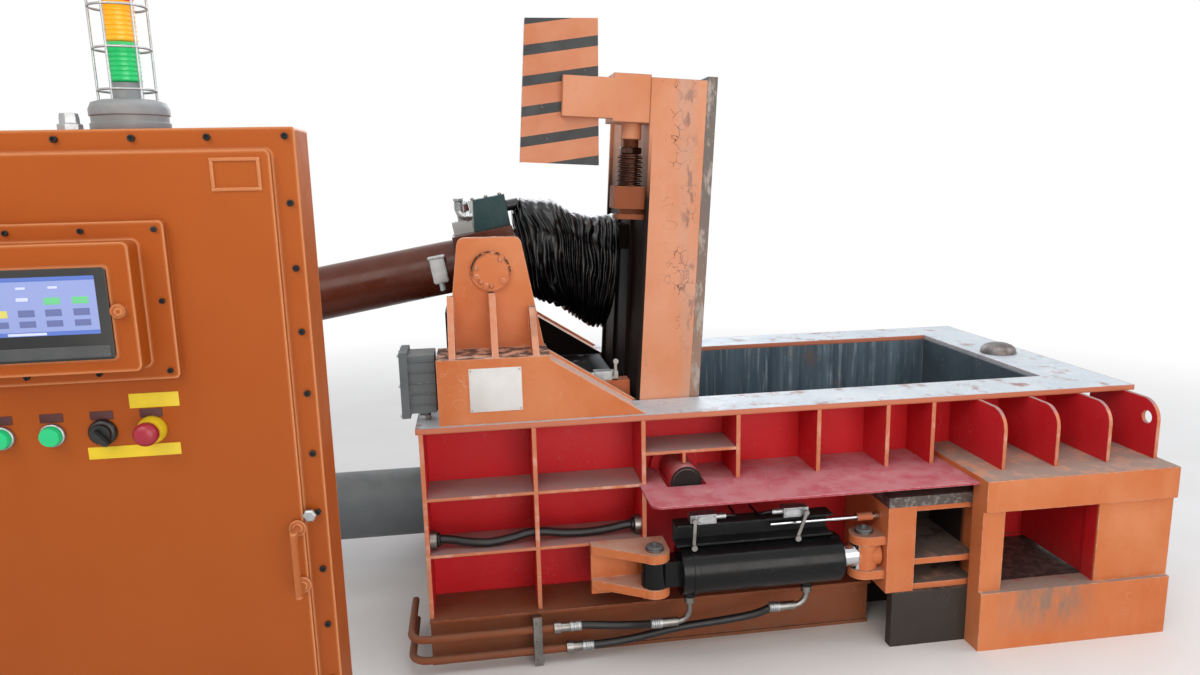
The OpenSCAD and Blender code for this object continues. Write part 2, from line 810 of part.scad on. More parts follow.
module pleated_sleeve() {
    n = 2 * sleeve_folds + 1;
    sides = sleeve_sides;
    mix = [for (i = [0:n - 1]) sleeve_mix(i / (n - 1))];
    outer = [for (i = [0:n - 1]) sleeve_ring(mix[i], sleeve_r * mix[i][2] - fold_depth * (1 - i % 2))];
    inner = [for (i = [n - 1:-1:1]) sleeve_ring(mix[i], sleeve_r * mix[i][2] - fold_depth - cloth_t)];
    collar = [sleeve_ring(mix[0], (lid_barrel_d / 2 + 2 * seat) / cos(180 / sides))];
    rings = concat(outer, inner, collar);
    count = len(rings);
    color("black") tilted() polyhedron([for (ring = rings) each ring],
        [for (i = [0:count - 1], k = [0:sides - 1]) let (j = (i + 1) % count, k2 = (k + 1) % sides)
            [i * sides + k, j * sides + k, j * sides + k2, i * sides + k2]]);
}

// The gate and its cylinder

gate_cyl_y = -rib_out - gate_cyl_out;
anchor_x = -141;
ear_tip = 55;
ear_plate_t = 34;
ears_h = 170;
tongue_h = ears_h - 2 * ear_plate_t - 4;
ears_z0 = gate_cyl_z - ears_h / 2;
anchor_l = -365;

// One ear of the anchor, seen from above
module anchor_ear() {
    difference() {
        union() {
            translate([anchor_x, gate_cyl_y]) circle(ear_tip);
            polygon([[anchor_l, -rib_out], [anchor_l, -rib_out - 40], [anchor_x - 12,
                    gate_cyl_y - ear_tip + 1],
                [anchor_x + ear_tip, gate_cyl_y], [anchor_x + ear_tip, -rib_out]]);
        }
        translate([anchor_x, gate_cyl_y]) circle(d = gate_pin_d + 2 * seat);
    }
}

// The bracket on the ribs that the gate cylinder pushes against
module gate_anchor() {
    color("darkorange") {
        for (z = [ears_z0, ears_z0 + ears_h - ear_plate_t]) translate([0, 0,
                z]) linear_extrude(ear_plate_t) anchor_ear();
        block(anchor_l, cell_x[2] + rib_t, -rib_out - 25, -rib_out, ears_z0 - 30, ears_z0 + ears_h);
    }
}

gate_barrel_x0 = -50;
gate_barrel_x1 = 557;
port_z = gate_cyl_z - gate_barrel_d / 2;
port_x = [-10, 445];

module gate_barrel() {
    color("black") difference() {
        union() {
            bar_x(gate_barrel_x0, gate_cyl_y, gate_cyl_z, gate_barrel_x1 - gate_barrel_x0, gate_barrel_d);
            bar_x(gate_barrel_x0 + 40, gate_cyl_y, gate_cyl_z, 20, gate_barrel_d + 8);
            bar_x(gate_barrel_x1 - 14, gate_cyl_y, gate_cyl_z, 22, gate_barrel_d - 14);
            bar_z(anchor_x, gate_cyl_y, gate_cyl_z - tongue_h / 2, tongue_h, 2 * ear_tip - 8);
            block(anchor_x, gate_barrel_x0 + 1, gate_cyl_y - 40, gate_cyl_y + 40,
                gate_cyl_z - tongue_h / 2, gate_cyl_z + tongue_h / 2);
            for (x = port_x) bar_z(x, gate_cyl_y, port_z - 18, 40, 46);
        }
        bar_x(gate_barrel_x0 + 60, gate_cyl_y, gate_cyl_z, gate_barrel_x1 - gate_barrel_x0,
                gate_rod_d + 2 * seat);
        bar_z(anchor_x, gate_cyl_y, gate_cyl_z - tongue_h, 2 * tongue_h, gate_pin_d + 2 * seat);
        for (x = port_x) bar_z(x, gate_cyl_y, port_z - 20, 30, 24);
    }
}

post_w = 110;
gate_pin_x = gate_x0 - 62;
gate_rod_x0 = gate_barrel_x0 + 80;
rod_end_x0 = gate_pin_x - gate_pin_d / 2 - 4;

module gate_rod() {
    color("silver") bar_x(gate_rod_x0, gate_cyl_y, gate_cyl_z, rod_end_x0 - gate_rod_x0, gate_rod_d);
    color("darkorange") difference() {
        union() {
            bar_x(rod_end_x0, gate_cyl_y, gate_cyl_z, gate_x0 - 6 - rod_end_x0, gate_rod_d + 6);
            bar_z(gate_pin_x, gate_cyl_y, gate_cyl_z - tongue_h / 2, tongue_h, 2 * ear_tip - 4);
        }
        bar_z(gate_pin_x, gate_cyl_y, gate_cyl_z - tongue_h, 2 * tongue_h, gate_pin_d + 2 * seat);
    }
}

// One ear of the gate, seen from above
module gate_ear() {
    difference() {
        union() {
            translate([gate_pin_x, gate_cyl_y]) circle(ear_tip);
            translate([gate_pin_x, gate_cyl_y - ear_tip]) square([gate_x0 - gate_pin_x, 2 * ear_tip]);
        }
        translate([gate_pin_x, gate_cyl_y]) circle(d = gate_pin_d + 2 * seat);
    }
}

gate_rib_t = 24;
mid_rib_z = 322;
wear_t = 40;

// The sliding gate: pressing plate, ribs, front post and the wear strip on top
module gate_block() {
    gate_x1 = gate_x0 + gate_w;
    color("darkorange") {
        block(gate_x0, gate_x1, gate_back - gate_rib_t, gate_back, gate_z0, gate_z1);
        for (z = [gate_z0, mid_rib_z, gate_z1 - gate_rib_t])
            block(gate_x0, gate_x1, gate_front + 12, gate_back, z, z + gate_rib_t);
        for (x = [gate_x0, gate_x1 - gate_rib_t])
            block(x, x + gate_rib_t, gate_front + 12, gate_back, gate_z0, gate_z1);
        block(gate_x0, gate_x0 + post_w, gate_front, gate_front + 40, gate_z0, gate_z1);
        for (z = [ears_z0, ears_z0 + ears_h - ear_plate_t]) translate([0, 0,
                z]) linear_extrude(ear_plate_t) gate_ear();
    }
    color("gray") block(gate_x0, gate_x1, gate_front, gate_front + 150, gate_z1, gate_z1 + wear_t);
}

pin_head = 8;

// One pin of the gate cylinder, with its keeper on top
module cylinder_pin(x) {
    color("gray") {
        bar_z(x, gate_cyl_y, ears_z0 - pin_head, ears_h + 2 * pin_head, gate_pin_d);
        bar_z(x, gate_cyl_y, ears_z0 + ears_h + seat, pin_head, gate_pin_d + 8);
    }
}

module gate_pin() {
    cylinder_pin(gate_pin_x);
}

module anchor_pin() {
    cylinder_pin(anchor_x);
}

// The switch rail on the gate cylinder, its two switches and the rod that works them

rail_x0 = -64;
rail_x1 = 532;
rail_z0 = gate_cyl_z + gate_barrel_d / 2 + 6;
rail_z1 = rail_z0 + 75;
rail_y0 = gate_cyl_y - 28;
rail_y1 = gate_cyl_y + 42;
rail_t = 8;
rail_foot_x = [24, 462];
striker_z = rail_z0 + 47;
striker_y = gate_cyl_y + 6;
striker_d = 16;
bracket_y = -400;
bracket_h = 66;

// The channel on the gate cylinder and the bracket at the lid's foot
module switch_mounts() {
    color("black") {
        block(rail_x0, rail_x1, rail_y1 - rail_t, rail_y1, rail_z0, rail_z1);
        block(rail_x0, rail_x1, rail_y0, rail_y1, rail_z1, rail_z1 + rail_t);
        block(rail_x0, rail_x1, rail_y0, rail_y1, rail_z0, rail_z0 + rail_t);
        for (x = rail_foot_x) block(x, x + 30, gate_cyl_y - 12, gate_cyl_y + 12, rail_z0 - 6 + seat,
                rail_z0);
    }
    color("darkorange") {
        block(-330, -150, bracket_y, bracket_y + rail_t, deck_top, deck_top + bracket_h);
        block(-330, -150, bracket_y, bracket_y + 70, deck_top + bracket_h - rail_t, deck_top + bracket_h);
    }
}

module striker_rod() {
    color("silver") bar_x(300, striker_y, striker_z, gate_x0 - 30 - 300, striker_d);
    color("darkorange") bar_x(gate_x0 - 90, striker_y, striker_z, 60, 30);
    color("silver") bar_x(gate_x0 - 30, striker_y, striker_z, 30, 26);
}

sw_l = 70;
sw_w = 46;
sw_h = 36;
sw_head = 26;
sw_shaft = 12;
sw_z = rail_z1 + rail_t + seat;
sw_y = gate_cyl_y - 30;
sw_x = [14, 340];
sw_dir = [-1, 1];
lid_sw_x = -290;
lid_sw_y = bracket_y + 12;
lever_t = 8;

// One limit switch: cast body, head with the lever's shaft at one end, cable gland at the other
module limit_switch(x, y, z, dir) {
    head_x = dir > 0 ? x + sw_l : x - sw_head;
    block(x, x + sw_l, y, y + sw_w, z, z + sw_h);
    block(head_x, head_x + sw_head, y + 4, y + sw_w - 4, z + 4, z + sw_h - 2);
    bar_y(head_x + sw_head / 2, y + 4 - sw_shaft, z + sw_h / 2, sw_shaft, 14);
    bar_x(dir > 0 ? x - 40 : x + sw_l, y + sw_w / 2, z + sw_h / 2, 40, 24);
}

module limit_switches() {
    color("silver") {
        for (i = [0:1]) limit_switch(sw_x[i], sw_y, sw_z, sw_dir[i]);
        limit_switch(lid_sw_x, lid_sw_y, deck_top + bracket_h + seat, 1);
    }
}

// The place of a lever's pivot on a switch
function pivot(x, y, z, dir) = [dir > 0 ? x + sw_l + sw_head / 2 : x - sw_head / 2,
        y + 4 - sw_shaft - seat, z + sw_h / 2];

// A roller lever, l long, turned by the angle a from straight down
module lever(at, a, l) {
    translate(at) rotate([0, a, 0]) {
        rotate([90, 0, 0]) cylinder(h = lever_t, d = 20);
        translate([-6, -lever_t, -l]) cube([12, lever_t, l]);
        translate([0, -lever_t, -l]) rotate([90, 0, 0]) cylinder(h = 10, d = 22);
    }
}

module left_lever() {
    color("gray") lever(pivot(sw_x[0], sw_y, sw_z, sw_dir[0]), 3, 98);
}

module right_lever() {
    color("gray") lever(pivot(sw_x[1], sw_y, sw_z, sw_dir[1]), 20, 100);
}

module lid_lever() {
    color("gray") lever(pivot(lid_sw_x, lid_sw_y, deck_top + bracket_h + seat, 1), 180, 62);
}

// The gate cylinder's pipes and hoses

// A swept round tube through the points p, with sides faces round it
function unit(v) = v / norm(v);
function tangent(p, i) = unit(p[min(i + 1, len(p) - 1)] - p[max(i - 1, 0)]);
function side_of(t) = unit(cross(t, abs(t[1]) < 0.9 ? [0, 1, 0] : [1, 0, 0]));

module swept(p, d, sides) {
    rings = [for (i = [0:len(p) - 1]) let (t = tangent(p, i), u = side_of(t), v = cross(t, u))
        for (k = [0:sides - 1]) p[i] + d / 2 * (cos(360 * k / sides) * u + sin(360 * k / sides) * v)];
    n = len(p);
    walls = [for (i = [0:n - 2], k = [0:sides - 1]) let (k2 = (k + 1) % sides)
        [i * sides + k, i * sides + k2, (i + 1) * sides + k2, (i + 1) * sides + k]];
    polyhedron(rings, concat(walls, [[for (k = [sides - 1:-1:0]) k]],
            [[for (k = [0:sides - 1]) (n - 1) * sides + k]]));
}

pipe_d = 28;
pipe_y = -rib_out - beam_lip - 36;
pipe_z = [137, 54];
pipe_end_x = [-515, -470];
bend_r = 60;
bend_x = -left_l - 10;
pipe_back_y = -430;

// A pipe's route: from the back, round the box's left end and along the base
function pipe_route(z, x1) = concat([[bend_x - bend_r, pipe_back_y, z]],
    [for (a = [0:15:90]) [bend_x - bend_r * cos(a), pipe_y + bend_r - bend_r * sin(a), z]], [[x1, pipe_y,
            z]]);

module hydraulic_pipes() {
    color("chocolate") for (i = [0:1]) swept(pipe_route(pipe_z[i], pipe_end_x[i]), pipe_d, 12);
}

fitting_l = 60;
elbow_r = 45;
elbow_z = [150, 170];

clamp_x = -592;
clamp_w = 32;
clamp_t = 8;
gland_l = 24;

// The clamp on the pipes, the fittings between pipe and hose, the elbows under the cylinder's
// ports and the glands of the hose on the shelf
module pipe_fittings() {
    clamp_y = pipe_y - pipe_d / 2 - seat - clamp_t;
    color("darkorange") {
        block(clamp_x, clamp_x + clamp_w, clamp_y, clamp_y + clamp_t, 2, elbow_z[1] + 26);
        block(clamp_x, clamp_x + clamp_w, pipe_y + pipe_d / 2 + seat, -rib_out + beam_lip / 2, 14,
            elbow_z[1] + 6);
        for (z = [22, elbow_z[0] - 54, elbow_z[1] - 2]) bar_y(clamp_x + clamp_w / 2, clamp_y - 7, z,
            pipe_d + clamp_t + 16, 16);
    }
    color("silver") for (i = [0:1]) {
        bar_x(pipe_end_x[i] + seat, pipe_y, pipe_z[i], 26, 46);
        bar_x(pipe_end_x[i] + 26, pipe_y, pipe_z[i], fitting_l - 26 - seat, 36);
        translate([port_x[i] - elbow_r, gate_cyl_y, elbow_z[i] + elbow_r]) rotate([90, 0, 0]) rotate([0,
                0, -90])
            rotate_extrude(angle = 90) translate([elbow_r, 0]) circle(d = 22);
        bar_z(port_x[i], gate_cyl_y, elbow_z[i] + elbow_r, port_z - 18 - seat - elbow_z[i] - elbow_r, 22);
        bar_z(port_x[i], gate_cyl_y, port_z - 18 - seat - 24, 24, 38);
        bar_x(port_x[i] - elbow_r - 60, gate_cyl_y, elbow_z[i], 60, 34);
    }
    color("silver") {
        bar_x(cell_x[0] + rib_t, hose_y, hose_z, gland_l, hose_hole_d + 12);
        bar_x(cell_x[2] - gland_l, hose_y, hose_z, gland_l, hose_hole_d + 12);
    }
}

hose_d = 30;
upper_route = [[-455, -748, 137], [-400, -748, 137], [-340, -750, 132], [-280, -756, 128], [-220, -768, 130],
    [-175, -790, 139], [-150, -804, 147], [-132, -807, 150], [-115.3, -807, 150]];
lower_route = [[-410, -748, 54], [-350, -748, 54], [-280, -750, 58], [-200, -756, 70], [-110, -764, 90],
    [-20, -768, 104], [80, -772, 112], [180, -780, 124], [250, -792, 140], [296, -804, 162], [320, -807,
            170], [339.7, -807, 170]];

module upper_hose() {
    color("black") swept(upper_route, hose_d, 12);
}

module lower_hose() {
    color("black") swept(lower_route, hose_d, 12);
}

shelf_hose_d = 32;
shelf_route = [[-929.7, -640, 478], [-908, -640, 478], [-870, -642, 473], [-820, -648, 464], [-740, -652,
        456],
    [-650, -644, 464], [-590, -640, 476], [-530, -640, 476], [-460, -632, 462], [-370, -630, 456],
    [-290, -636, 464], [-240, -639, 473], [-208, -640, 478], [-186.3, -640, 478]];

module shelf_hose() {
    color("black") swept(shelf_route, shelf_hose_d, 12);
}

jb_x0 = -1028;
jb_x1 = ped_l - 8;
jb_y = -600;
jb_z0 = 955;
jb_z1 = 1170;

// The flameproof terminal box on the pedestal's end, with its flange and glands
module junction_box() {
    color("gray") {
        block(jb_x0 + 30, jb_x1, jb_y, jb_y + 130, jb_z0, jb_z1);
        block(jb_x0, jb_x0 + 30, jb_y - 14, jb_y + 144, jb_z0 - 14, jb_z1 + 14);
        for (y = [jb_y + 30, jb_y + 95]) bar_z(jb_x0 + 80, y, jb_z0 - 28, 28, 34);
        block(jb_x1, ped_l - seat, jb_y + 30, jb_y + 100, jb_z0 + 40, jb_z1 - 40);
    }
}

// The control cabinet

cab_x1 = -1022;
cab_x0 = cab_x1 - cab_w;
cab_front = -2172;
cab_foot = 60;
panel_in = 40;
panel_t = 12;
cab_back = cab_front + cab_cover_t + cab_body_d;

module cabinet_body() {
    color("darkorange") {
        difference() {
            block(cab_x0 + 50, cab_x1 - 50, cab_front + cab_cover_t, cab_back, cab_foot, cab_h - 60);
            block(cab_x0 + 62, cab_x1 - 62, cab_front + cab_cover_t - 1, cab_back - 12, cab_foot + 12,
                    cab_h - 72);
        }
        for (x = [cab_x0 + 60, cab_x1 - 120]) block(x, x + 60, cab_front + cab_cover_t, cab_back, 0,
                cab_foot);
    }
}

handle_x = cab_x1 - 50;
handle_z = 1142;

module cabinet_cover() {
    color("darkorange") {
        difference() {
            plate_xz(cab_front, cab_cover_t - seat) round_rect(cab_x0, cab_foot + 30, cab_x1, cab_h, 6);
            block(cab_x0 + 50, cab_x1 - 50, cab_front + 20, cab_front + cab_cover_t, cab_foot + 80,
                    cab_h - 72);
            for (x = knob_x) bar_y(x, cab_front - 20, button_z, 60, stem_d + 2 * seat);
        }
        difference() {
            plate_xz(cab_front - panel_t, panel_t)
                round_rect(cab_x0 + panel_in, cab_foot + 70, cab_x1 - panel_in, cab_h - 36, 10);
            for (x = knob_x) bar_y(x, cab_front - 20, button_z, 60, stem_d + 2 * seat);
        }
    }
    color("gray") {
        for (z = [handle_z - 55, handle_z + 55]) bar_y(handle_x, cab_front - panel_t - 42, z, 42, 12);
        bar_z(handle_x, cab_front - panel_t - 42, handle_z - 61, 122, 12);
    }
}

hmi_x1 = -1233;
hmi_w = 358;
hmi_h = 261;
hmi_z1 = cab_h - 145;
hmi_z0 = hmi_z1 - hmi_h;
hmi_in = 42;
hmi_d = 58;
hmi_y = cab_front - panel_t;
bezel_x1 = -1310;
bezel_w = 204;
bezel_h = 146;
bezel_z = hmi_z0 + 47;

// The screen's flanged housing, the screen and its bezel
module screen_unit() {
    color("darkorange") {
        plate_xz(hmi_y - 16, 16 - seat) round_rect(hmi_x1 - hmi_w, hmi_z0, hmi_x1, hmi_z1, 8);
        plate_xz(hmi_y - hmi_d, hmi_d - 16)
            round_rect(hmi_x1 - hmi_w + hmi_in, hmi_z0 + 24, hmi_x1 - hmi_in, hmi_z1 - 30, 10);
    }
    color("black") plate_xz(hmi_y - hmi_d - 6, 6)
        round_rect(bezel_x1 - bezel_w, bezel_z, bezel_x1, bezel_z + bezel_h, 5);
    color("gray") bar_y(bezel_x1 + 14, hmi_y - hmi_d - 12, bezel_z + 76, 12, 14);
}

stem_d = 22;
button_z = hmi_z0 - 89;
knob_x = [for (i = [0:3]) -1292 - i * button_pitch];
button_y = hmi_y;

// One push button: its collar, its stem in the cover's bore and its cap
module push_button(x) {
    bar_y(x, button_y - 18, button_z, 14, 30);
    bar_y(x, button_y - 5, button_z, 60, stem_d);
}

module left_button() {
    color("green") push_button(knob_x[3]);
}

module right_button() {
    color("green") push_button(knob_x[2]);
}

module selector() {
    color("black") {
        bar_y(knob_x[1], button_y - 12, button_z, 60, stem_d);
        bar_y(knob_x[1], button_y - 14, button_z, 13, 34);
        block(knob_x[1] - 6, knob_x[1] + 6, button_y - 30, button_y - 13, button_z - 17, button_z + 17);
    }
}

module stop_button() {
    color("red") bar_y(knob_x[0], button_y - 46, button_z, 22, stop_d);
    color("red") bar_y(knob_x[0], button_y - 25, button_z, 70, stem_d);
}

lamp_x = -1333;
lamp_y = cab_front + 172;

// The signal lamp on the cabinet's top: base, three lenses and cap
module signal_lamp() {
    color("gray") {
        bar_z(lamp_x, lamp_y, cab_h - 60 + seat, 60, 90);
        bar_z(lamp_x, lamp_y, cab_h, 58, 130);
        bar_z(lamp_x, lamp_y, cab_h + 58, 30, 46);
    }
    for (i = [0:2]) color(["green", "gold", "red"][i]) bar_z(lamp_x, lamp_y, cab_h + 88 + i * 68, 68, 54);
    color("gray") bar_z(lamp_x, lamp_y, cab_h + 88 + 3 * 68 - 2, 16, 58);
}

base_frame();
front_wall();
rear_wall();
end_walls();
chamber_floor();
deck_plate();
wall_ribs();
front_shelves();
portal_gussets();
outlet_portal();
gate_sill();
cylinder_cover();
pedestals();
trunnion_caps();
hinge_shaft();
hinge_collars();
main_cylinder();
main_ram_rod();
main_ram_head();
side_cylinder();
side_ram_rod();
side_ram_head();
lid_body();
lid_liner();
rod_bracket();
lock_housing();
lock_rod();
disc_springs();
guard_plate();
lid_barrel();
valve_block();
lid_rod();
rod_pin();
pleated_sleeve();
gate_anchor();
gate_barrel();
gate_rod();
gate_block();
gate_pin();
anchor_pin();
switch_mounts();
striker_rod();
limit_switches();
left_lever();
right_lever();
lid_lever();
hydraulic_pipes();
pipe_fittings();
upper_hose();
lower_hose();
shelf_hose();
junction_box();
cabinet_body();
cabinet_cover();
screen_unit();
left_button();
right_button();
selector();
stop_button();
signal_lamp();
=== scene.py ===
# %% [markdown]
# # A scrap-metal baler with its control cabinet
# The machine presses loose scrap into bales. This file dresses that frame: it paints the plates, sews the
# pleated sleeve, lays the hoses and fits the small things that the solids leave out. Everything is in
# metres, with X along the press stroke, Y across the machine and Z up.

# %% Load the frame
import bpy, bmesh, math
from mathutils import Vector, Matrix, noise


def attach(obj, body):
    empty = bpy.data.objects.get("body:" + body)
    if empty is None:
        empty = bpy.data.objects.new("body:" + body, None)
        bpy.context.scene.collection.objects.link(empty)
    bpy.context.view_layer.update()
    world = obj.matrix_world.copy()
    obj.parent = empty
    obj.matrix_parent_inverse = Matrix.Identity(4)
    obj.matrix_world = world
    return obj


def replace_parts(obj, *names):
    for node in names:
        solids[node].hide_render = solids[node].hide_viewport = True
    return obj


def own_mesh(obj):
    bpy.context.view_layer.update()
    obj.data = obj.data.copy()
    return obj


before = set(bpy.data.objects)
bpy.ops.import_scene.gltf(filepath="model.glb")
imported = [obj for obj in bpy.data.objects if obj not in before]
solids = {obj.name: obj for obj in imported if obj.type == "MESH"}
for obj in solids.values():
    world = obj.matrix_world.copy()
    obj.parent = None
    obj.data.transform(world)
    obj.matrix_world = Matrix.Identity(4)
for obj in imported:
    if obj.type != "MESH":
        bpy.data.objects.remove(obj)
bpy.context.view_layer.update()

# %% [markdown]
# The camera stands in front of the cabinet, at eye height, and looks a little down and to the right.
# Its place and angles were fitted to the machine's straight edges, so the CAD and the photograph line up.
# A camera looks along its own -Z, so its matrix is built from the three directions right, up and back.

# %% Set up the camera
EYE = Vector((-0.738, -3.671, 1.800))
YAW, PITCH, ROLL = (math.radians(a) for a in (8.2, 10.88, -1.28))
SENSOR_MM, IMAGE_PX, FOCAL_PX = 36.0, 1200, 852.7

look = Vector((math.sin(YAW) * math.cos(PITCH), math.cos(YAW) * math.cos(PITCH), -math.sin(PITCH)))
level = Vector((math.cos(YAW), -math.sin(YAW), 0))
upward = level.cross(look)
right = math.cos(ROLL) * level + math.sin(ROLL) * upward
up = math.cos(ROLL) * upward - math.sin(ROLL) * level
camera_data = bpy.data.cameras.new("camera")
camera_data.sensor_width = SENSOR_MM
camera_data.lens = FOCAL_PX / IMAGE_PX * SENSOR_MM
camera = bpy.data.objects.new("camera", camera_data)
camera.matrix_world = Matrix.Translation(EYE) @ Matrix((right, up, -look)).transposed().to_4x4()
bpy.context.collection.objects.link(camera)
bpy.context.scene.camera = camera
print("camera lens", round(camera_data.lens, 2), "mm")

# %% [markdown]
# Two parts of the machine stand at a slant: the lid cylinder between its pedestals, and the open lid. What sits
# on them is placed by how far along, across and above them it lies.

# %% Places on the cylinder and on the lid
CYLINDER_TILT, TRUNNION = math.radians(9.7463), Vector((-0.684, 0, 1.453))
LID_LEAN, HINGE_Z = math.radians(3.5), 0.662


def on_cylinder(along, y, over):
    """A point beside the lid cylinder: along its axis from the trunnion, across, and over the axis."""
    c, s = math.cos(CYLINDER_TILT), math.sin(CYLINDER_TILT)
    return TRUNNION + Vector((along * c - over * s, y, along * s + over * c))


def on_lid(up, y, out):
    """A point on the open lid: up along it from the hinge, across, and out of its back."""
    c, s = math.cos(LID_LEAN), math.sin(LID_LEAN)
    return Vector((up * s - out * c, y, HINGE_Z + up * c + out * s))


CYLINDER_AXIS, UP_AXIS = on_cylinder(1, 0, 0) - TRUNNION, on_cylinder(0, 0, 1) - TRUNNION
LID_UP, LID_OUT = on_lid(1, 0, 0) - on_lid(0, 0, 0), on_lid(0, 0, 1) - on_lid(0, 0, 0)
print("cylinder rises", round(math.degrees(CYLINDER_TILT), 1), "degrees")

# %% [markdown]
# Colours are written as sRGB hex values, as a paint card gives them. Blender's shaders work in linear light,
# so one function turns them round. A second one adds a node to a material and wires its inputs.

# %% Helpers for nodes
MM = 0.001


def linear(code):
    """The linear colour of an sRGB hex value such as #c8703c."""
    parts = [int(code[i:i + 2], 16) / 255 for i in (1, 3, 5)]
    return [p / 12.92 if p <= 0.04045 else ((p + 0.055) / 1.055) ** 2.4 for p in parts] + [1.0]


def plug(tree, socket, value):
    """Gives a socket its link, its colour or its number."""
    if isinstance(value, bpy.types.NodeSocket):
        tree.links.new(value, socket)
    else:
        socket.default_value = linear(value) if isinstance(value, str) else value


def add(tree, kind, inputs=(), **settings):
    """Adds a node of that kind, with its settings, values and links."""
    made = tree.nodes.new("ShaderNode" + kind)
    for key, value in settings.items():
        setattr(made, key, value)
    for key, value in dict(inputs).items():
        plug(tree, made.inputs[key], value)
    return made


# %% [markdown]
# Most of what shows is sprayed enamel on hot-rolled plate. New, it is even and half glossy. In a scrap yard it
# fades in patches, gets a film of pale dust on what faces up, loses its colour along the edges and is scratched
# by the load. A finish lays such coats one over the other, each where its masks are 1. The masks are noise at
# a real size, or a place or a direction of the piece itself, in the machine's frame at rest, so the colours
# stay on their plates when the lid or the gate moves.

# %% A finish and its masks
class Finish:
    """A material with its shader. The first coat is its base colour."""

    def __init__(self, name, **shader):
        self.material = bpy.data.materials.new(name)
        self.material.use_nodes = True
        self.tree = self.material.node_tree
        self.surface = self.tree.nodes["Principled BSDF"]
        for key, value in shader.items():
            self.set(key.replace("_", " "), value)
        self.where = self.add("TexCoord").outputs["Object"]

    def add(self, kind, inputs=(), **settings):
        """A node in this finish."""
        return add(self.tree, kind, inputs, **settings)

    def set(self, key, value):
        """One of the shader's inputs: a number, a colour or a socket."""
        plug(self.tree, self.surface.inputs[key], value)

    def ramp(self, value, start=0.0, end=1.0, top=1.0, low=0.0):
        """Low up to the value at start, top from the one at end on."""
        return self.add("MapRange", {"Value": value, "From Min": start, "From Max": end,
                                     "To Min": low, "To Max": top}).outputs[0]

    def every(self, *masks):
        """Masks multiplied with each other."""
        result = masks[0]
        for mask in masks[1:]:
            result = self.add("Math", {0: result, 1: mask}, operation="MULTIPLY", use_clamp=True).outputs[0]
        return result

    def grain(self, size_mm, detail):
        """Plain noise of that size."""
        inputs = {"Vector": self.where, "Scale": 1 / (size_mm * MM), "Detail": detail}
        return self.add("TexNoise", inputs).outputs["Fac"]

    def patches(self, size_mm, low, high, detail=4.0, stretch=(1, 1, 1)):
        """A mask from 0 to 1 with soft patches of that size."""
        moved = self.add("Mapping", {"Vector": self.where, "Scale": stretch}).outputs[0]
        inputs = {"Vector": moved, "Scale": 1 / (size_mm * MM), "Detail": detail, "Roughness": 0.6}
        return self.ramp(self.add("TexNoise", inputs).outputs["Fac"], low, high)

    def scratches(self, gap_mm, share, turn=0.6):
        """A mask of long thin marks, gap_mm apart, which lie along the turned X direction."""
        longer = 9
        angles = turn, turn * 1.7, turn * 0.8
        turned = self.add("Mapping", {"Vector": self.where, "Rotation": angles}).outputs[0]
        bent = self.add("TexNoise", {"Vector": turned, "Scale": 4.0, "Detail": 3.0}).outputs["Color"]
        warped = self.add("VectorMath", {0: turned, 1: bent}, operation="ADD").outputs[0]
        drawn = self.add("Mapping", {"Vector": warped, "Scale": (1, longer, longer)}).outputs[0]
        cells = self.add("TexVoronoi", {"Vector": drawn, "Scale": 1 / (gap_mm * MM * longer)},
                         feature="DISTANCE_TO_EDGE")
        return self.ramp(cells.outputs["Distance"], share, 0.0)

    def edges(self, width_mm):
        """A mask that is 1 on sharp edges, where the normal rounded over the width leaves the flat one."""
        rounded = self.add("Bevel", {"Radius": width_mm * MM}, samples=4).outputs[0]
        flat = self.add("NewGeometry").outputs["Normal"]
        same = self.add("VectorMath", {0: rounded, 1: flat}, operation="DOT_PRODUCT").outputs["Value"]
        return self.ramp(same, 0.99, 0.86), rounded

    def at(self, axis):
        """The place along X, Y or Z on the piece at rest."""
        return self.add("SeparateXYZ", {0: self.where}).outputs[axis]

    def off_centre(self):
        """The distance across from the machine's middle plane."""
        return self.add("Math", {0: self.at("Y")}, operation="ABSOLUTE").outputs[0]

    def beyond(self, axis, start, end, top=1.0):
        """A mask that grows from 0 to top between two places along the axis."""
        return self.ramp(self.at(axis), start, end, top)

    def between(self, axis, low, high, soft=0.0005):
        """A mask that is 1 between two places along the axis."""
        return self.every(self.beyond(axis, low - soft, low), self.beyond(axis, high + soft, high))

    def facing(self, axis, start, end, top=1.0):
        """A mask of how far the surface faces along the axis, which goes from -1 to 1."""
        normal = self.add("TexCoord").outputs["Normal"]
        return self.ramp(self.add("SeparateXYZ", {0: normal}).outputs[axis], start, end, top)

    def front(self):
        """A mask of what faces the front."""
        return self.facing("Y", -0.6, -0.9)

    def top(self):
        """A mask of what faces up."""
        return self.facing("Z", 0.6, 0.9)

    def lay(self, masks, colour, roughness=None, metallic=None, shine=None):
        """Lays a coat over what is there, where the mask, or every mask of a list, is 1."""
        mask = self.every(*masks) if isinstance(masks, list) else masks
        coat = {"Base Color": colour, "Roughness": roughness, "Metallic": metallic, "Specular IOR Level": shine}
        for key, value in coat.items():
            if value is None:
                continue
            socket = self.surface.inputs[key]
            before = socket.links[0].from_socket if socket.is_linked else socket.default_value
            if key == "Base Color":
                mixed = self.add("Mix", {"Factor": mask, 6: before, 7: value}, data_type="RGBA").outputs[2]
            else:
                mixed = self.ramp(mask, top=value, low=before)
            self.set(key, mixed)

    def vary(self, key, size_mm, first, last, low=0.3):
        """Lets one of the shader's values drift from first to last in patches."""
        self.set(key, self.ramp(self.patches(size_mm, low, 0.7), top=last, low=first))

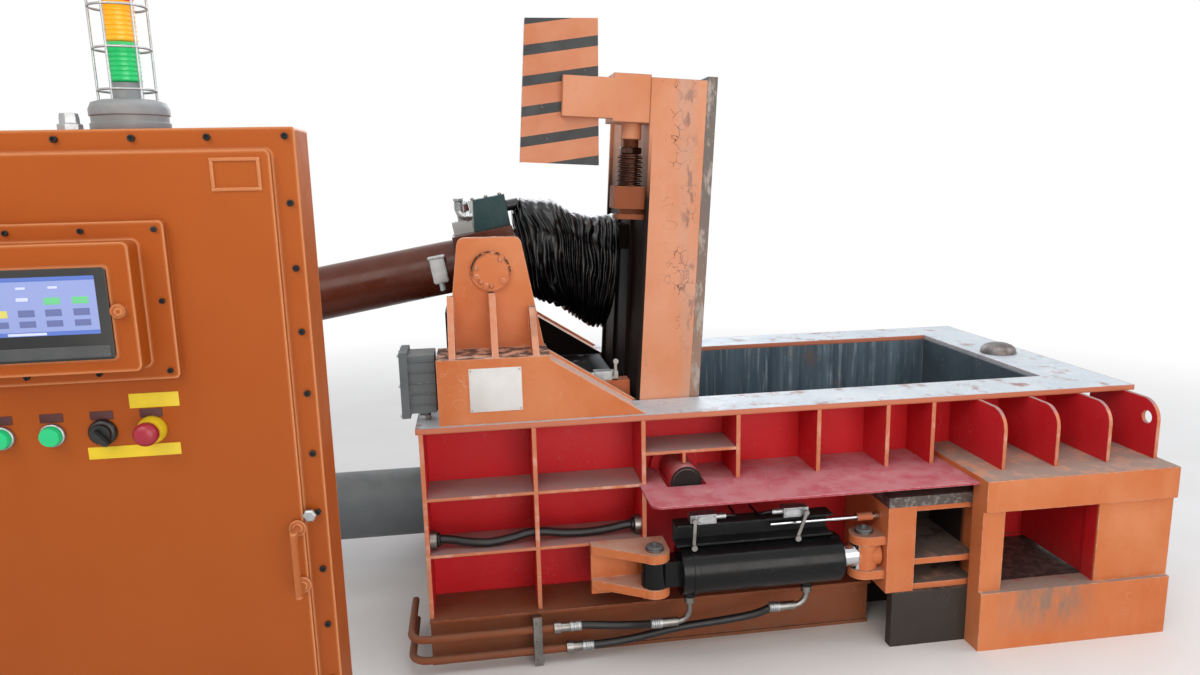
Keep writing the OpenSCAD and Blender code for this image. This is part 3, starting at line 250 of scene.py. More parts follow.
    def relief(self, height, depth_mm, strength, normal=None):
        """Bumps of that height, on the rounded normal where one is given."""
        inputs = {"Height": height, "Distance": depth_mm * MM, "Strength": strength}
        if normal is not None:
            inputs["Normal"] = normal
        self.set("Normal", self.add("Bump", inputs).outputs[0])


print("finishes can be mixed")

# %% [markdown]
# The enamel function is used for every painted plate. Its arguments are what a painter would ask: the coat's
# colour, the faded one, what shows on a chipped edge, the dust, and how worn it all is. The cabinet is cast
# alloy, powder coated in a deeper orange, and it stands indoors, so it is cleaner than the press.

# %% Painted finishes
def enamel(name, coat, faded, edge, dust, roughness=0.42, wear=0.5, dusty=0.5, scratched=0.25, edge_mm=5.0,
           low_dirt=0.0):
    """Sprayed enamel on steel plate. IOR 1.5, as for alkyd paint."""
    made = Finish(name, IOR=1.5, Specular_IOR_Level=0.26, Base_Color=coat)
    made.lay(made.patches(420, 0.35, 0.75), faded)
    made.lay([made.patches(60, 0.5, 0.85, stretch=(1, 1, 0.12)), made.patches(300, 0.4, 0.7)], faded)
    film = made.every(made.facing("Z", 0.3, 0.95, dusty), made.patches(70, 0.2, 0.58, 8.0))
    made.lay(film, dust)
    if scratched:
        made.lay([made.scratches(70, 0.012), made.patches(160, 0.48, 0.62), scratched], edge)
    if low_dirt:
        made.lay([made.beyond("Z", 0.25, 0.0, low_dirt), made.patches(80, 0.3, 0.6)], dust)
    edges, rounded = made.edges(edge_mm)
    made.lay([edges, made.patches(28, 0.62 - 0.3 * wear, 0.72 - 0.2 * wear, 6.0)], edge)
    gloss = made.ramp(made.patches(90, 0.3, 0.7), top=roughness + 0.18, low=roughness)
    made.set("Roughness", made.add("Math", {0: gloss, 1: film}, operation="MAXIMUM").outputs[0])
    made.relief(made.grain(6, 2.0), 0.25, 0.35, rounded)
    return made


PRESS_COATS = "#c46a38", "#d4875a", "#e3c4ad", "#cbb0a0"
GATE_COATS = "#c06434", "#cf8055", "#e0bda6", "#a08c80"
press_orange = enamel("sprayed_orange_enamel", *PRESS_COATS, 0.38, 0.6, 0.75, 0.4)
lid_orange = enamel("scratched_orange_enamel", "#c98057", "#d6997a", "#a08478", "#d3b9a6", 0.4, 0.8, 0.3, 0.5)
cabinet_orange = enamel("orange_powder_coat", "#a44d0c", "#ab5616", "#d99a70", "#c08660",
                        0.36, 0.1, 0.1, 0.0, 3.0)
base_brown = enamel("dusty_base_enamel", "#81401f", "#8c4c2c", "#a87c62", "#75604f",
                    0.5, 0.5, 0.45, 0.4, 5.0, 0.4)
wall_red = enamel("sprayed_red_enamel", "#c91a22", "#cf2a30", "#c98c88", "#b77f7c", 0.36, 0.3, 0.6, 0.3)
cell_red = enamel("red_cells_with_orange_rims", "#c91c24", "#cc3038", "#d8aa98", "#b98a86", 0.4, 0.7, 0.85, 0.3)
cover_red = enamel("scuffed_red_enamel", "#a92f40", "#b9505f", "#dcb8b4", "#c69496", 0.42, 0.9, 0.6, 1.0)
trim_black = enamel("black_enamel", "#111315", "#1d2023", "#5d6064", "#3c3c3c", 0.25, 0.25, 0.25, 0.15, 3.0)
barrel_black = enamel("glossy_black_enamel", "#08090a", "#0e0f11", "#5d6062", "#34373a",
                      0.14, 0.15, 0.12, 0.3, 3.0)
barrel_brown = enamel("glossy_brown_enamel", "#4c2013", "#5f2c1c", "#8a6a5a", "#6d4c40",
                      0.18, 0.2, 0.3, 0.2, 3.0)
machine_grey = enamel("grey_enamel", "#5c6366", "#6d7477", "#9ea3a5", "#8d8a85", 0.42, 0.3, 0.4, 0.1)
chamber_blue = enamel("worn_chamber_enamel", "#45535d", "#5f6e78", "#9aa0a3", "#6b5d57", 0.45, 0.6, 0.5, 1.0)
print("painted finishes:", len(bpy.data.materials))

# %% [markdown]
# Bare metal keeps the default IOR and takes its look from metallic 1 and its roughness. The deck is hot-rolled
# plate rubbed bright by the scrap, with reddish primer left where less slides over it. Its front edge is still
# orange, and between the pedestals it is painted near black as shade.

# %% Bare metal finishes
def bare_metal(name, bright, dull, roughness, rub_mm, stains="#6d4436", stained=0.25):
    """Bare steel or alloy: rubbed patches, fine grain and some stain."""
    made = Finish(name, Metallic=1.0, Base_Color=bright)
    made.lay(made.patches(rub_mm, 0.35, 0.7), dull)
    made.lay(made.patches(rub_mm * 0.6, 1.0 - stained * 1.6, 1.15 - stained, 6.0), stains)
    grain = made.grain(2.5, 3.0)
    made.set("Roughness", made.ramp(grain, 0.3, 0.7, top=roughness + 0.16, low=roughness))
    made.relief(grain, 0.15, 0.3, made.edges(2)[1])
    return made


def deck_finish():
    """Plate that scrap slides over: a pale scuffed film, and red-brown primer at its edges."""
    made = Finish("scuffed_deck_plate", IOR=1.5, Base_Color="#ccd2d6")
    made.lay(made.patches(240, 0.3, 0.7, 6.0), "#b4bdc4")
    made.lay(made.patches(90, 0.56, 0.7, 8.0), "#93655d")
    made.lay([made.scratches(55, 0.02, 0.3), made.patches(110, 0.4, 0.6)], "#e4e6e8")
    edges, rounded = made.edges(9.0)
    made.lay([edges, made.patches(40, 0.3, 0.5)], "#8a4f43")
    made.vary("Metallic", 90, 0.35, 0.1, low=0.4)
    made.vary("Roughness", 30, 0.38, 0.6)
    made.relief(made.grain(5, 5.0), 0.4, 0.4, rounded)
    made.lay(made.front(), "#c27050", 0.5, 0.0)
    # Painted shade: the deck between the pedestals, under the lid cylinder, is painted near black.
    made.lay([made.between("Y", -0.43, 0.43, 0.03), made.beyond("X", -0.06, -0.22),
              made.patches(80, 0.15, 0.4, 6.0)], "#1c1715", 0.85, 0.0, 0.05)
    return made


turned_steel = bare_metal("turned_steel", "#9a9894", "#767470", 0.3, 60)
worn_steel = bare_metal("worn_plate_steel", "#8d8a88", "#6a6767", 0.42, 90, "#5a4038", 0.35)
hard_chrome = bare_metal("hard_chrome", "#d6d8da", "#c2c5c8", 0.08, 200, "#9b9da0", 0.05)
cast_zinc = bare_metal("cast_zinc_alloy", "#b9bcbd", "#9da1a3", 0.36, 30, "#7d7f80", 0.15)
spring_steel = bare_metal("oiled_spring_steel", "#5b4038", "#43302b", 0.32, 40, "#2d211e", 0.4)
deck_steel = deck_finish()
print("metal finishes made")

# %% [markdown]
# Rubber, coated cloth and moulded plastic are non-metals. Hose rubber is extruded and dull; the sleeve is
# nylon cloth with a PVC coat, which gives long bright glints on its folds.

# %% Rubber, cloth and plastic finishes
def moulded(name, colour, tint, roughness, grain_mm=4.0, depth_mm=0.1, **shader):
    """Moulded or extruded plastic or rubber with a faint grain and uneven gloss."""
    made = Finish(name, IOR=1.5, Base_Color=colour, **shader)
    made.lay(made.patches(60, 0.35, 0.7), tint)
    made.vary("Roughness", 35, roughness, roughness + 0.12)
    made.relief(made.grain(grain_mm, 3.0), depth_mm, 0.5)
    return made


def lens(name, colour, tint, glow, strength=0.25):
    """A clear coloured lens with a lamp behind it."""
    return moulded(name, colour, tint, 0.15, Emission_Color=glow, Emission_Strength=strength)


hose_rubber = moulded("extruded_hose_rubber", "#0f1011", "#1c1d1e", 0.38)
sleeve_cloth = moulded("pvc_coated_cloth", "#040405", "#070708", 0.13, 60.0, 0.5, Specular_IOR_Level=0.3)
black_plastic = moulded("black_abs", "#101112", "#18191a", 0.3)
grey_plastic = moulded("grey_abs", "#8c9092", "#7d8183", 0.4)
red_plastic = moulded("red_push_button_plastic", "#9c1a30", "#90172b", 0.3)
yellow_plate = moulded("yellow_film", "#dcbf1e", "#d2b51b", 0.35)
tag_red = moulded("dark_red_tag", "#3d0c0a", "#4a120f", 0.4)
smoked_plate = moulded("smoked_acrylic", "#3d4040", "#484b4b", 0.25)
white_plate = moulded("white_film", "#d9d9d6", "#cfcfcc", 0.35)
green_glow = lens("lit_green_lens", "#129a5c", "#17a866", "#18d98c", 0.3)
lens_green = lens("green_lamp_lens", "#1fae62", "#25c06d", "#1fae62")
lens_amber = lens("amber_lamp_lens", "#f0a51c", "#f5b22a", "#f0a51c")
lens_red = lens("red_lamp_lens", "#d7332b", "#e04138", "#d7332b")
print("all finishes:", len(bpy.data.materials))

# %% [markdown]
# The CAD nodes whose shape is right keep it and only get a finish. Those that have one enamel of their own
# follow further down; the ones that a finer piece replaces are painted too, so that no node is left plain.

# %% Paint the CAD nodes
FINISH_OF = {
    press_orange: "gate_anchor",
    cell_red: "wall_ribs front_shelves portal_gussets",
    lid_orange: "lock_housing",
    cabinet_orange: "cabinet_body cabinet_cover screen_unit",
    base_brown: "base_frame lock_rod hydraulic_pipes",
    wall_red: "hinge_collars side_ram_head",
    cover_red: "cylinder_cover",
    chamber_blue: "end_walls chamber_floor main_ram_head",
    barrel_black: "gate_barrel",
    barrel_brown: "lid_barrel",
    machine_grey: "main_cylinder side_cylinder junction_box",
    hard_chrome: "main_ram_rod side_ram_rod",
    turned_steel: "rod_pin gate_pin anchor_pin left_lever right_lever lid_lever pipe_fittings",
    deck_steel: "deck_plate",
    cast_zinc: "limit_switches",
    spring_steel: "disc_springs",
    hose_rubber: "upper_hose lower_hose shelf_hose",
    sleeve_cloth: "pleated_sleeve",
    green_glow: "left_button right_button",
    black_plastic: "selector",
    red_plastic: "stop_button",
    grey_plastic: "signal_lamp",
}


def paint(nodes, finish):
    """Gives the named CAD nodes one finish."""
    for node in nodes.split():
        solids[node].data.materials.clear()
        solids[node].data.materials.append(finish.material)
    return finish


for finish, nodes in FINISH_OF.items():
    paint(nodes, finish)
print("painted", sum(len(nodes.split()) for nodes in FINISH_OF.values()), "nodes of", len(solids))

# %% [markdown]
# Many plates are welded into one piece but painted in two colours: red inside the cells, orange on the rims
# that face the front. The cabinet is painted darker towards the floor as shade, and its edges carry a painted
# highlight. The portal is red inside, dusty on its ledge and scuffed below the outlet. The pedestals' inner
# faces are painted near black as shade.

# %% The ribs, the cabinet, the portal and the pedestals
def own_enamel(nodes, name, *coats, **options):
    """An enamel made for these nodes alone."""
    return paint(nodes, enamel(name, *coats, **options))


rims = cell_red.facing("Y", -0.55, -0.75)
cell_red.lay(rims, "#c97a58")
cell_red.lay([rims, cell_red.patches(60, 0.5, 0.68, 6.0)], "#d9a48c")
cell_red.lay([cell_red.top(), cell_red.patches(120, 0.18, 0.5, 8.0)], "#a0807c", 0.7)

# Painted shade: the cabinet is painted darker towards the floor.
cabinet_orange.lay(cabinet_orange.beyond("Z", 1.95, 0.1, 0.85), "#7d350a")
# Painted highlight: the cabinet's sharp edges are painted pale, as where light catches them.
cabinet_orange.lay([cabinet_orange.edges(9.0)[0], 0.9], "#dd9868", 0.3)

coat = own_enamel("outlet_portal", "portal_enamel", *PRESS_COATS, wear=0.6, dusty=0.8)
coat.lay([coat.beyond("Y", -0.950, -0.945), coat.between("X", 1.140, 1.545), coat.between("Z", 0.2, 0.56)],
         "#c01c24")
coat.lay([coat.between("X", 1.25, 1.42, 0.14), coat.between("Z", 0.16, 0.24, 0.12),
          coat.patches(24, 0.3, 0.62, 8.0, (1, 1, 0.25))], "#8c7263", 0.75)
coat.lay([coat.top(), coat.patches(70, 0.3, 0.5, 6.0), coat.between("Z", 0.2, 0.7)], "#9a8478", 0.8)

LEDGE_Z, INNER_Y = 1.150, 0.4415
coat = own_enamel("pedestals", "pedestal_enamel", *PRESS_COATS, wear=0.8, dusty=0.8, scratched=0.4)
coat.lay([coat.top(), coat.beyond("Z", LEDGE_Z, LEDGE_Z + 0.005), coat.patches(50, 0.42, 0.55, 6.0)],
         "#5d4a42", 0.8)
coat.lay([coat.facing("Z", 0.5, 0.8), coat.patches(60, 0.3, 0.5, 6.0),
          coat.beyond("Z", LEDGE_Z, LEDGE_Z - 0.01)], "#d2b0a0", 0.6)
# Painted shade: the pedestals' inner faces, which face each other, are painted near black.
coat.lay([coat.ramp(coat.off_centre(), INNER_Y, INNER_Y - 0.001), coat.patches(200, 0.1, 0.35)],
         "#1a1310", 0.75, shine=0.1)

coat = own_enamel("trunnion_caps", "trunnion_cap_enamel", "#c66c3a", "#d08052", "#e3c4ad", "#cbb0a0", wear=0.7)
off_x, off_z = (coat.add("Math", {0: coat.at(axis), 1: place}, operation="SUBTRACT").outputs[0]
                for axis, place in (("X", TRUNNION.x), ("Z", TRUNNION.z)))
flat = coat.add("CombineXYZ", {"X": off_x, "Z": off_z}).outputs[0]
reach = coat.add("VectorMath", {0: flat}, operation="LENGTH").outputs["Value"]
coat.lay([coat.ramp(reach, 0.060, 0.071), coat.ramp(off_z, -0.03, 0.0), coat.patches(12, 0.44, 0.52, 6.0)],
         "#1b1512", 0.7)
print("frame painted in two coats")

# %% [markdown]
# The lid's back behind the sleeve is painted near black as shade. On its side the enamel has crazed along the
# strip beside the liner, and flakes are missing. The edge of the liner is scoured bright.

# %% The lid, its liner and the rods
LID_BACK = 0.1392 + HINGE_Z * LID_OUT.z
coat = own_enamel("lid_body rod_bracket", "lid_enamel", "#c98057", "#d89d80", "#8d6f62", "#d3b9a6",
                  wear=0.8, dusty=0.3, scratched=0.6)
out = coat.add("VectorMath", {0: coat.where, 1: LID_OUT}, operation="DOT_PRODUCT").outputs["Value"]
# Painted shade: the lower part of the lid's back, behind the sleeve, is painted near black.
coat.lay([coat.ramp(out, LID_BACK, LID_BACK + 0.0007), coat.beyond("Z", 1.95, 1.7)], "#1c120e", 0.6, shine=0.1)
bend = coat.add("TexNoise", {"Vector": coat.where, "Scale": 30.0, "Detail": 5.0}).outputs["Color"]
bend = coat.add("VectorMath", {0: bend, "Scale": 0.03}, operation="SCALE").outputs[0]
bent = coat.add("VectorMath", {0: coat.where, 1: bend}, operation="ADD").outputs[0]
cells = coat.add("TexVoronoi", {"Vector": bent, "Scale": 26.0}, feature="DISTANCE_TO_EDGE").outputs["Distance"]
strip = coat.every(coat.between("X", 0.0, 0.085, 0.03), coat.between("Z", 1.25, 2.25, 0.2), coat.front())
coat.lay([coat.ramp(cells, 0.03, 0.012), strip, coat.patches(90, 0.5, 0.58)], "#6a3f35", 0.6)
coat.lay([strip, coat.beyond("X", 0.03, 0.07), coat.patches(34, 0.54, 0.6, 8.0, (1, 1, 0.45))], "#94604f", 0.6)
coat.lay([coat.between("X", 0.055, 0.085, 0.03), coat.front(),
          coat.patches(60, 0.3, 0.6, 6.0, (1, 1, 0.3)), 0.5], "#b89a8a", 0.55)

coat = own_enamel("lid_liner", "lid_liner_plate", "#3c4850", "#57646d", "#a9a09a", "#7a6d66",
                  wear=0.9, dusty=0.4, scratched=1.0)
coat.lay(coat.front(), "#6e655f", 0.5)
coat.lay([coat.front(), coat.beyond("Z", 1.7, 1.0, 0.7)], "#a07a66", 0.5)
coat.lay([coat.front(), coat.patches(24, 0.5, 0.62, 6.0, (1, 1, 0.4))], "#a3978e", 0.5)

coat = own_enamel("lid_rod", "lid_rod_enamel", "#8f4a28", "#9c5a38", "#b48a70", "#8f7a6e")
coat.lay(coat.beyond("X", -0.2675, -0.268), "#d0d3d6", 0.08, 1.0)
coat = own_enamel("gate_rod", "gate_rod_enamel", *GATE_COATS, wear=0.5, dusty=0.3)
coat.lay(coat.beyond("X", 0.6345, 0.6342), "#d0d3d6", 0.08, 1.0)
coat = own_enamel("striker_rod", "striker_enamel", "#b9603a", "#c57650", "#e0bda6", "#a08c80")
coat.lay(coat.ramp(coat.between("X", 0.6405, 0.6995), 1.0, 0.0), "#c4c6c8", 0.2, 1.0)
coat = own_enamel("hinge_shaft", "hinge_shaft_enamel", "#b3202a", "#bf4048", "#d3a19c", "#b58f8c",
                  wear=0.8, dusty=0.7)
coat.lay(coat.front(), "#171412", 0.5)
print("lid and rods painted")

# %% [markdown]
# What the scrap rubs on the gate has no paint left: its top strip is bare. Its deep cell is painted near black
# as shade. The switches' mounts are black on the gate's cylinder and orange at the lid's foot. Half of the valve
# is bare.

# %% The gate, the sill and the mounts
GATE_CELL_X, GATE_STRIP_Z = 0.752, 0.5602
coat = own_enamel("gate_block", "gate_enamel", *GATE_COATS, wear=0.7, dusty=0.8)
cell = coat.beyond("X", GATE_CELL_X, GATE_CELL_X + 0.004)
strip = coat.beyond("Z", GATE_STRIP_Z, GATE_STRIP_Z + 0.0004)
# Painted shade: the gate's deep cell is painted near black.
coat.lay([coat.beyond("Y", -0.79, -0.76), cell], "#2a211d", 0.6)
coat.lay(strip, "#5c5552", 0.5, 0.6)
coat.lay([strip, coat.patches(22, 0.5, 0.62, 6.0)], "#8d857f", 0.4, 0.6)
coat.lay([coat.top(), coat.patches(60, 0.3, 0.5, 6.0), cell], "#6f635c", 0.7)

coat = own_enamel("gate_sill", "gate_sill_plate", "#322c29", "#3c3531", "#6b625c", "#554b45",
                  wear=0.5, dusty=0.5, scratched=0.5)
coat.lay([coat.top(), coat.patches(30, 0.45, 0.6, 6.0)], "#6d6660", 0.45, 0.5)
chamber_blue.lay([chamber_blue.beyond("Y", -0.50, -0.51), chamber_blue.beyond("Z", 0.50, 0.45)], "#a81e27", 0.5)

coat = own_enamel("switch_mounts", "switch_mount_enamel", "#0d0e0f", "#1a1c1e", "#55585a", "#3c3c3c",
                  wear=0.3, dusty=0.3)
coat.lay(coat.beyond("Z", 0.85, 0.86), "#b9623a", 0.45)
coat = own_enamel("valve_block", "valve_enamel", "#1d3537", "#264446", "#7d8a8a", "#51605f",
                  wear=0.3, dusty=0.3)
coat.lay(coat.beyond("X", -0.735, -0.74), "#8d8f8e", 0.35, 0.7)
print("two-coat pieces painted")

# %% [markdown]
# The guard's stripes are black paint through a mask. A band's height is measured along the plate, and the
# bands rise towards the lid, so the mask repeats over z less a share of x.

# %% Striped guard
BAND_PITCH, BAND_SHARE, BAND_SLOPE, BAND_Z, BAND_X = 0.1075, 0.34, 0.127, 2.228, -0.522

coat = paint("guard_plate", Finish("striped_guard_enamel", IOR=1.5, Base_Color="#bd6f45"))
rise = Vector((-BAND_SLOPE, 0, 1)) / BAND_PITCH
bands = coat.add("VectorMath", {0: coat.where, 1: rise}, operation="DOT_PRODUCT").outputs["Value"]
for operation, value in (("SUBTRACT", rise.dot(Vector((BAND_X, 0, BAND_Z)))), ("FLOORED_MODULO", 1.0),
                         ("LESS_THAN", BAND_SHARE)):
    bands = coat.add("Math", {0: bands, 1: value}, operation=operation).outputs[0]
coat.lay(coat.patches(200, 0.35, 0.7), "#c88560")
coat.lay(bands, "#17191b")
coat.lay([bands, coat.patches(90, 0.4, 0.7)], "#25282a")
coat.lay(coat.patches(30, 0.66, 0.74, 8.0), "#a98d7c")
coat.vary("Roughness", 60, 0.4, 0.56)
print("guard striped")

# %% [markdown]
# Inside, the press box was never sprayed red: the scrap keeps its walls scoured blue-grey, streaked from top
# to bottom. The two long walls are one plate each, so their finish changes with the distance from the centre.

# %% Chamber walls
OUTER_FACE = 0.497

coat = own_enamel("front_wall rear_wall", "red_wall_with_steel_liner",
                  "#cb1a22", "#d12a30", "#c98c88", "#b77f7c", 0.36, 0.3, 0.6, 0.3)
inside = coat.add("Math", {0: coat.off_centre(), 1: OUTER_FACE}, operation="LESS_THAN").outputs[0]
coat.lay(inside, "#414f59")
coat.lay([inside, coat.patches(55, 0.36, 0.66, 5.0, (1, 1, 0.07))], "#5f707b")
coat.lay([inside, coat.patches(24, 0.52, 0.66, 6.0, (1, 1, 0.05)), coat.patches(220, 0.38, 0.6)], "#93a0a8")
coat.lay([inside, coat.patches(130, 0.6, 0.75, 6.0)], "#6b5d57")
print("walls lined")

# %% [markdown]
# The small pieces that follow are meshes made point by point. A loft joins rings of points and closes its ends,
# a lathe turns a profile about an axis, a slab is a plate with rounded corners and broken edges. A profile is
# given in millimetres, as on a drawing; a place is in metres, in the machine's frame.

# %% Helpers for meshes
X_AXIS, BACK, UP, FRONT = (1, 0, 0), (0, 1, 0), (0, 0, 1), (0, -1, 0)


def joined(*shapes):
    """Several shapes' points and faces as one."""
    points, faces = [], []
    for more_points, more_faces in shapes:
        faces += [tuple(k + len(points) for k in face) for face in more_faces]
        points += more_points
    return points, faces


def make_mesh(name, shape, finish, body="frame", sharp_deg=38):
    """A mesh object from one shape or a list of them, shaded smooth up to an angle, on a body."""
    points, faces = joined(*shape) if isinstance(shape, list) else shape
    data = bpy.data.meshes.new(name)
    data.from_pydata([tuple(p) for p in points], [], faces)
    data.validate()
    skin = bmesh.new()
    skin.from_mesh(data)
    bmesh.ops.recalc_face_normals(skin, faces=skin.faces)
    for edge in skin.edges:
        edge.smooth = len(edge.link_faces) == 2 and edge.calc_face_angle(0) < math.radians(sharp_deg)
    for face in skin.faces:
        face.smooth = True
    skin.to_mesh(data)
    skin.free()
    data.materials.append(finish.material)
    made = bpy.data.objects.new(name, data)
    bpy.context.collection.objects.link(made)
    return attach(made, body)


def loft(rings, closed=False):
    """A skin over rings of equal length; its ends get caps, or it closes on itself."""
    sides, count = len(rings[0]), len(rings)
    faces = []
    for i in range(count if closed else count - 1):
        this, after = i * sides, (i + 1) % count * sides
        faces += [(this + k, this + (k + 1) % sides, after + (k + 1) % sides, after + k) for k in range(sides)]
    if not closed:
        faces += [tuple(range(sides)), tuple((count - 1) * sides + k for k in range(sides))]
    return [p for ring in rings for p in ring], faces


def circle(centre, radius, degrees, first=X_AXIS, second=UP):
    """Points on a circle at the given angles, from the first direction towards the second."""
    centre, first, second = Vector(centre), Vector(first), Vector(second)
    return [centre + (first * math.cos(a) + second * math.sin(a)) * radius for a in map(math.radians, degrees)]


def frame_of(axis):
    """Two directions square to the axis and to each other."""
    first = axis.cross(Vector(UP) if abs(axis.z) < 0.9 else Vector(X_AXIS)).normalized()
    return first, axis.cross(first)


def lathe(profile_mm, place, axis, sides=48, closed=False):
    """A profile of (radius, distance along the axis) pairs, turned about the axis at that place."""
    axis = Vector(axis).normalized()
    turn = [360 * k / sides for k in range(sides)]
    return loft([circle(Vector(place) + axis * d * MM, max(r * MM, 1e-5), turn, *frame_of(axis))
                 for r, d in profile_mm], closed)


def bolt(place, axis, across_mm):
    """A hexagon head with a domed top on a washer."""
    r, h = across_mm / math.sqrt(3), 0.62 * across_mm
    head = [(0, 0), (r * 0.97, 0), (r, h * 0.1), (r, h * 0.82), (r * 0.86, h), (0, h)]
    washer = [(0, -h * 0.05), (r * 1.25, -h * 0.05), (r * 1.3, h * 0.06), (r * 1.25, h * 0.18), (0, h * 0.18)]
    on_washer = Vector(place) + Vector(axis) * h * 0.18 * MM
    return joined(lathe(head, on_washer, axis, 6), lathe(washer, place, axis, 24))


def socket_screw(place, axis, across_mm):
    """A cylinder head with its hexagon socket."""
    r, h = across_mm / 2, across_mm * 0.55
    return lathe([(0, 0), (r * 0.97, 0), (r, h * 0.08), (r, h * 0.9), (r * 0.92, h), (r * 0.5, h),
                  (r * 0.46, h * 0.5), (0, h * 0.5)], place, axis, 24)


def screws_at(name, places, axis, across_mm, finish, body="frame", shape=socket_screw):
    """One object with a screw at every place."""
    make_mesh(name, [shape(p, axis, across_mm) for p in places], finish, body, sharp_deg=25)


def slab(x0, x1, z0, z1, y0, y1, corner=0.004, ease=0.001):
    """A plate facing the front with rounded corners and an eased front edge."""
    left, right, low, high = x0 + corner, x1 - corner, z0 + corner, z1 - corner
    rings = []
    for y, inset in ((y1, 0), (y0 + ease, 0), (y0 + ease * 0.3, ease * 0.3), (y0, ease)):
        corners = (right, high, 0), (left, high, 90), (left, low, 180), (right, low, 270)
        turns = [(x, z, math.radians(start + a)) for x, z, start in corners for a in range(0, 91, 18)]
        rings.append([Vector((x + (corner - inset) * math.cos(a), y, z + (corner - inset) * math.sin(a)))
                      for x, z, a in turns])
    return loft(rings)


def block(x0, x1, y0, y1, z0, z1, ease=0.002):
    """A box with broken edges, from its two corners."""
    data = bmesh.new()
    bmesh.ops.create_cube(data, size=1)
    bmesh.ops.scale(data, vec=(x1 - x0, y1 - y0, z1 - z0), verts=data.verts)
    bmesh.ops.translate(data, vec=((x0 + x1) / 2, (y0 + y1) / 2, (z0 + z1) / 2), verts=data.verts)
    bmesh.ops.bevel(data, geom=data.edges[:], offset=ease, segments=2, affect="EDGES")
    points = [v.co.copy() for v in data.verts]
    faces = [tuple(v.index for v in f.verts) for f in data.faces]
    data.free()
    return points, faces


def spline(points):
    """A smooth line through the given points (Catmull-Rom), with eight steps from one to the next."""
    points = [Vector(p) for p in points]
    ends = [2 * points[0] - points[1]] + points + [2 * points[-1] - points[-2]]
    line = []
    for a, b, c, d in zip(ends, ends[1:], ends[2:], ends[3:]):
        for t in (k / 8 for k in range(8)):
            line.append(0.5 * (2 * b + (c - a) * t + (2 * a - 5 * b + 4 * c - d) * t ** 2
                               + (3 * b - a - 3 * c + d) * t ** 3))
    return line + [points[-1]]


def tube(line, radius, sides=16):
    """A round tube along a line of points."""
    rings, side = [], None
    for i, p in enumerate(line):
        ahead = (line[min(i + 1, len(line) - 1)] - line[max(i - 1, 0)]).normalized()
        side = frame_of(ahead)[0] if side is None else (side - ahead * side.dot(ahead)).normalized()
        rings.append(circle(p, radius, [360 * k / sides for k in range(sides)], side, ahead.cross(side)))
    return loft(rings)


def length_of(line):
    """The length of a line of points, in metres."""
    return sum((b - a).length for a, b in zip(line, line[1:]))


def to_metres(points_mm):
    """A route given in millimetres, in metres."""
    return [Vector(p) * MM for p in points_mm]


print("mesh helpers ready")

# %% [markdown]
# The hoses come first. The long one in the cells sags between the rings that it passes through; it is laid
# as a curve with a round bevel. The two under the gate cylinder are short and stiff, with steel ferrules crimped
# on their ends; the two steel lines beside the base bend round its left end.

# %% Lay the hoses and pipes
SHELF_ROUTE = to_metres([
    (-929.7, -640, 478), (-908, -640, 478), (-870, -642, 473), (-820, -648, 464), (-740, -652, 456),
    (-650, -644, 464), (-590, -640, 476), (-530, -640, 476), (-460, -632, 462), (-370, -630, 456),
    (-290, -636, 464), (-240, -639, 473), (-208, -640, 478), (-186.3, -640, 478)])
UPPER_ROUTE = to_metres([
    (-455, -748, 137), (-400, -748, 137), (-340, -750, 132), (-280, -756, 128), (-220, -768, 130),
    (-175, -790, 139), (-150, -804, 147), (-132, -807, 150), (-115.3, -807, 150)])
LOWER_ROUTE = to_metres([
    (-410, -748, 54), (-350, -748, 54), (-280, -750, 58), (-200, -756, 70), (-110, -764, 90), (-20, -768, 104),
    (80, -772, 112), (180, -780, 124), (250, -792, 140), (296, -804, 162), (320, -807, 170), (339.7, -807, 170)])
SHELF_HOSE_D, HOSE_D, PIPE_D = 0.032, 0.030, 0.028

shelf_line = spline(SHELF_ROUTE)
curve = bpy.data.curves.new("shelf_hose_curve", "CURVE")
curve.dimensions, curve.use_fill_caps = "3D", True
curve.bevel_depth, curve.bevel_resolution = SHELF_HOSE_D / 2, 5
strand = curve.splines.new("POLY")
strand.points.add(len(shelf_line) - 1)
for point, place in zip(strand.points, shelf_line):
    point.co = (*place, 1)
curve.materials.append(hose_rubber.material)
shelf_hose = bpy.data.objects.new("shelf_hose_rubber", curve)
bpy.context.collection.objects.link(shelf_hose)
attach(shelf_hose, "frame")
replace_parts(shelf_hose, "shelf_hose")

r = HOSE_D / 2 / MM
GROOVE = (4.5, 0), (4.5, 4), (2.5, 5.2), (2.5, 6.8)
grooves = [(r + over, start + d) for start in (8, 16, 24, 32) for over, d in GROOVE]
FERRULE = [(r * 0.9, 0.5), (r + 4, 0.5), (r + 4, 6)] + grooves + [(r + 4, 42), (r + 0.5, 44), (r * 0.9, 44)]
for name, route in (("upper_hose", UPPER_ROUTE), ("lower_hose", LOWER_ROUTE)):
    line = spline(route)
    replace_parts(make_mesh(name + "_rubber", tube(line, HOSE_D / 2, 24), hose_rubber), name)
    ends = (line[0], line[5] - line[0]), (line[-1], line[-6] - line[-1])
    ferrules = [lathe(FERRULE, place, inward, 32) for place, inward in ends]
    make_mesh(name + "_ferrules", ferrules, cast_zinc, sharp_deg=30)
    print(name, round(length_of(line), 3), "m")

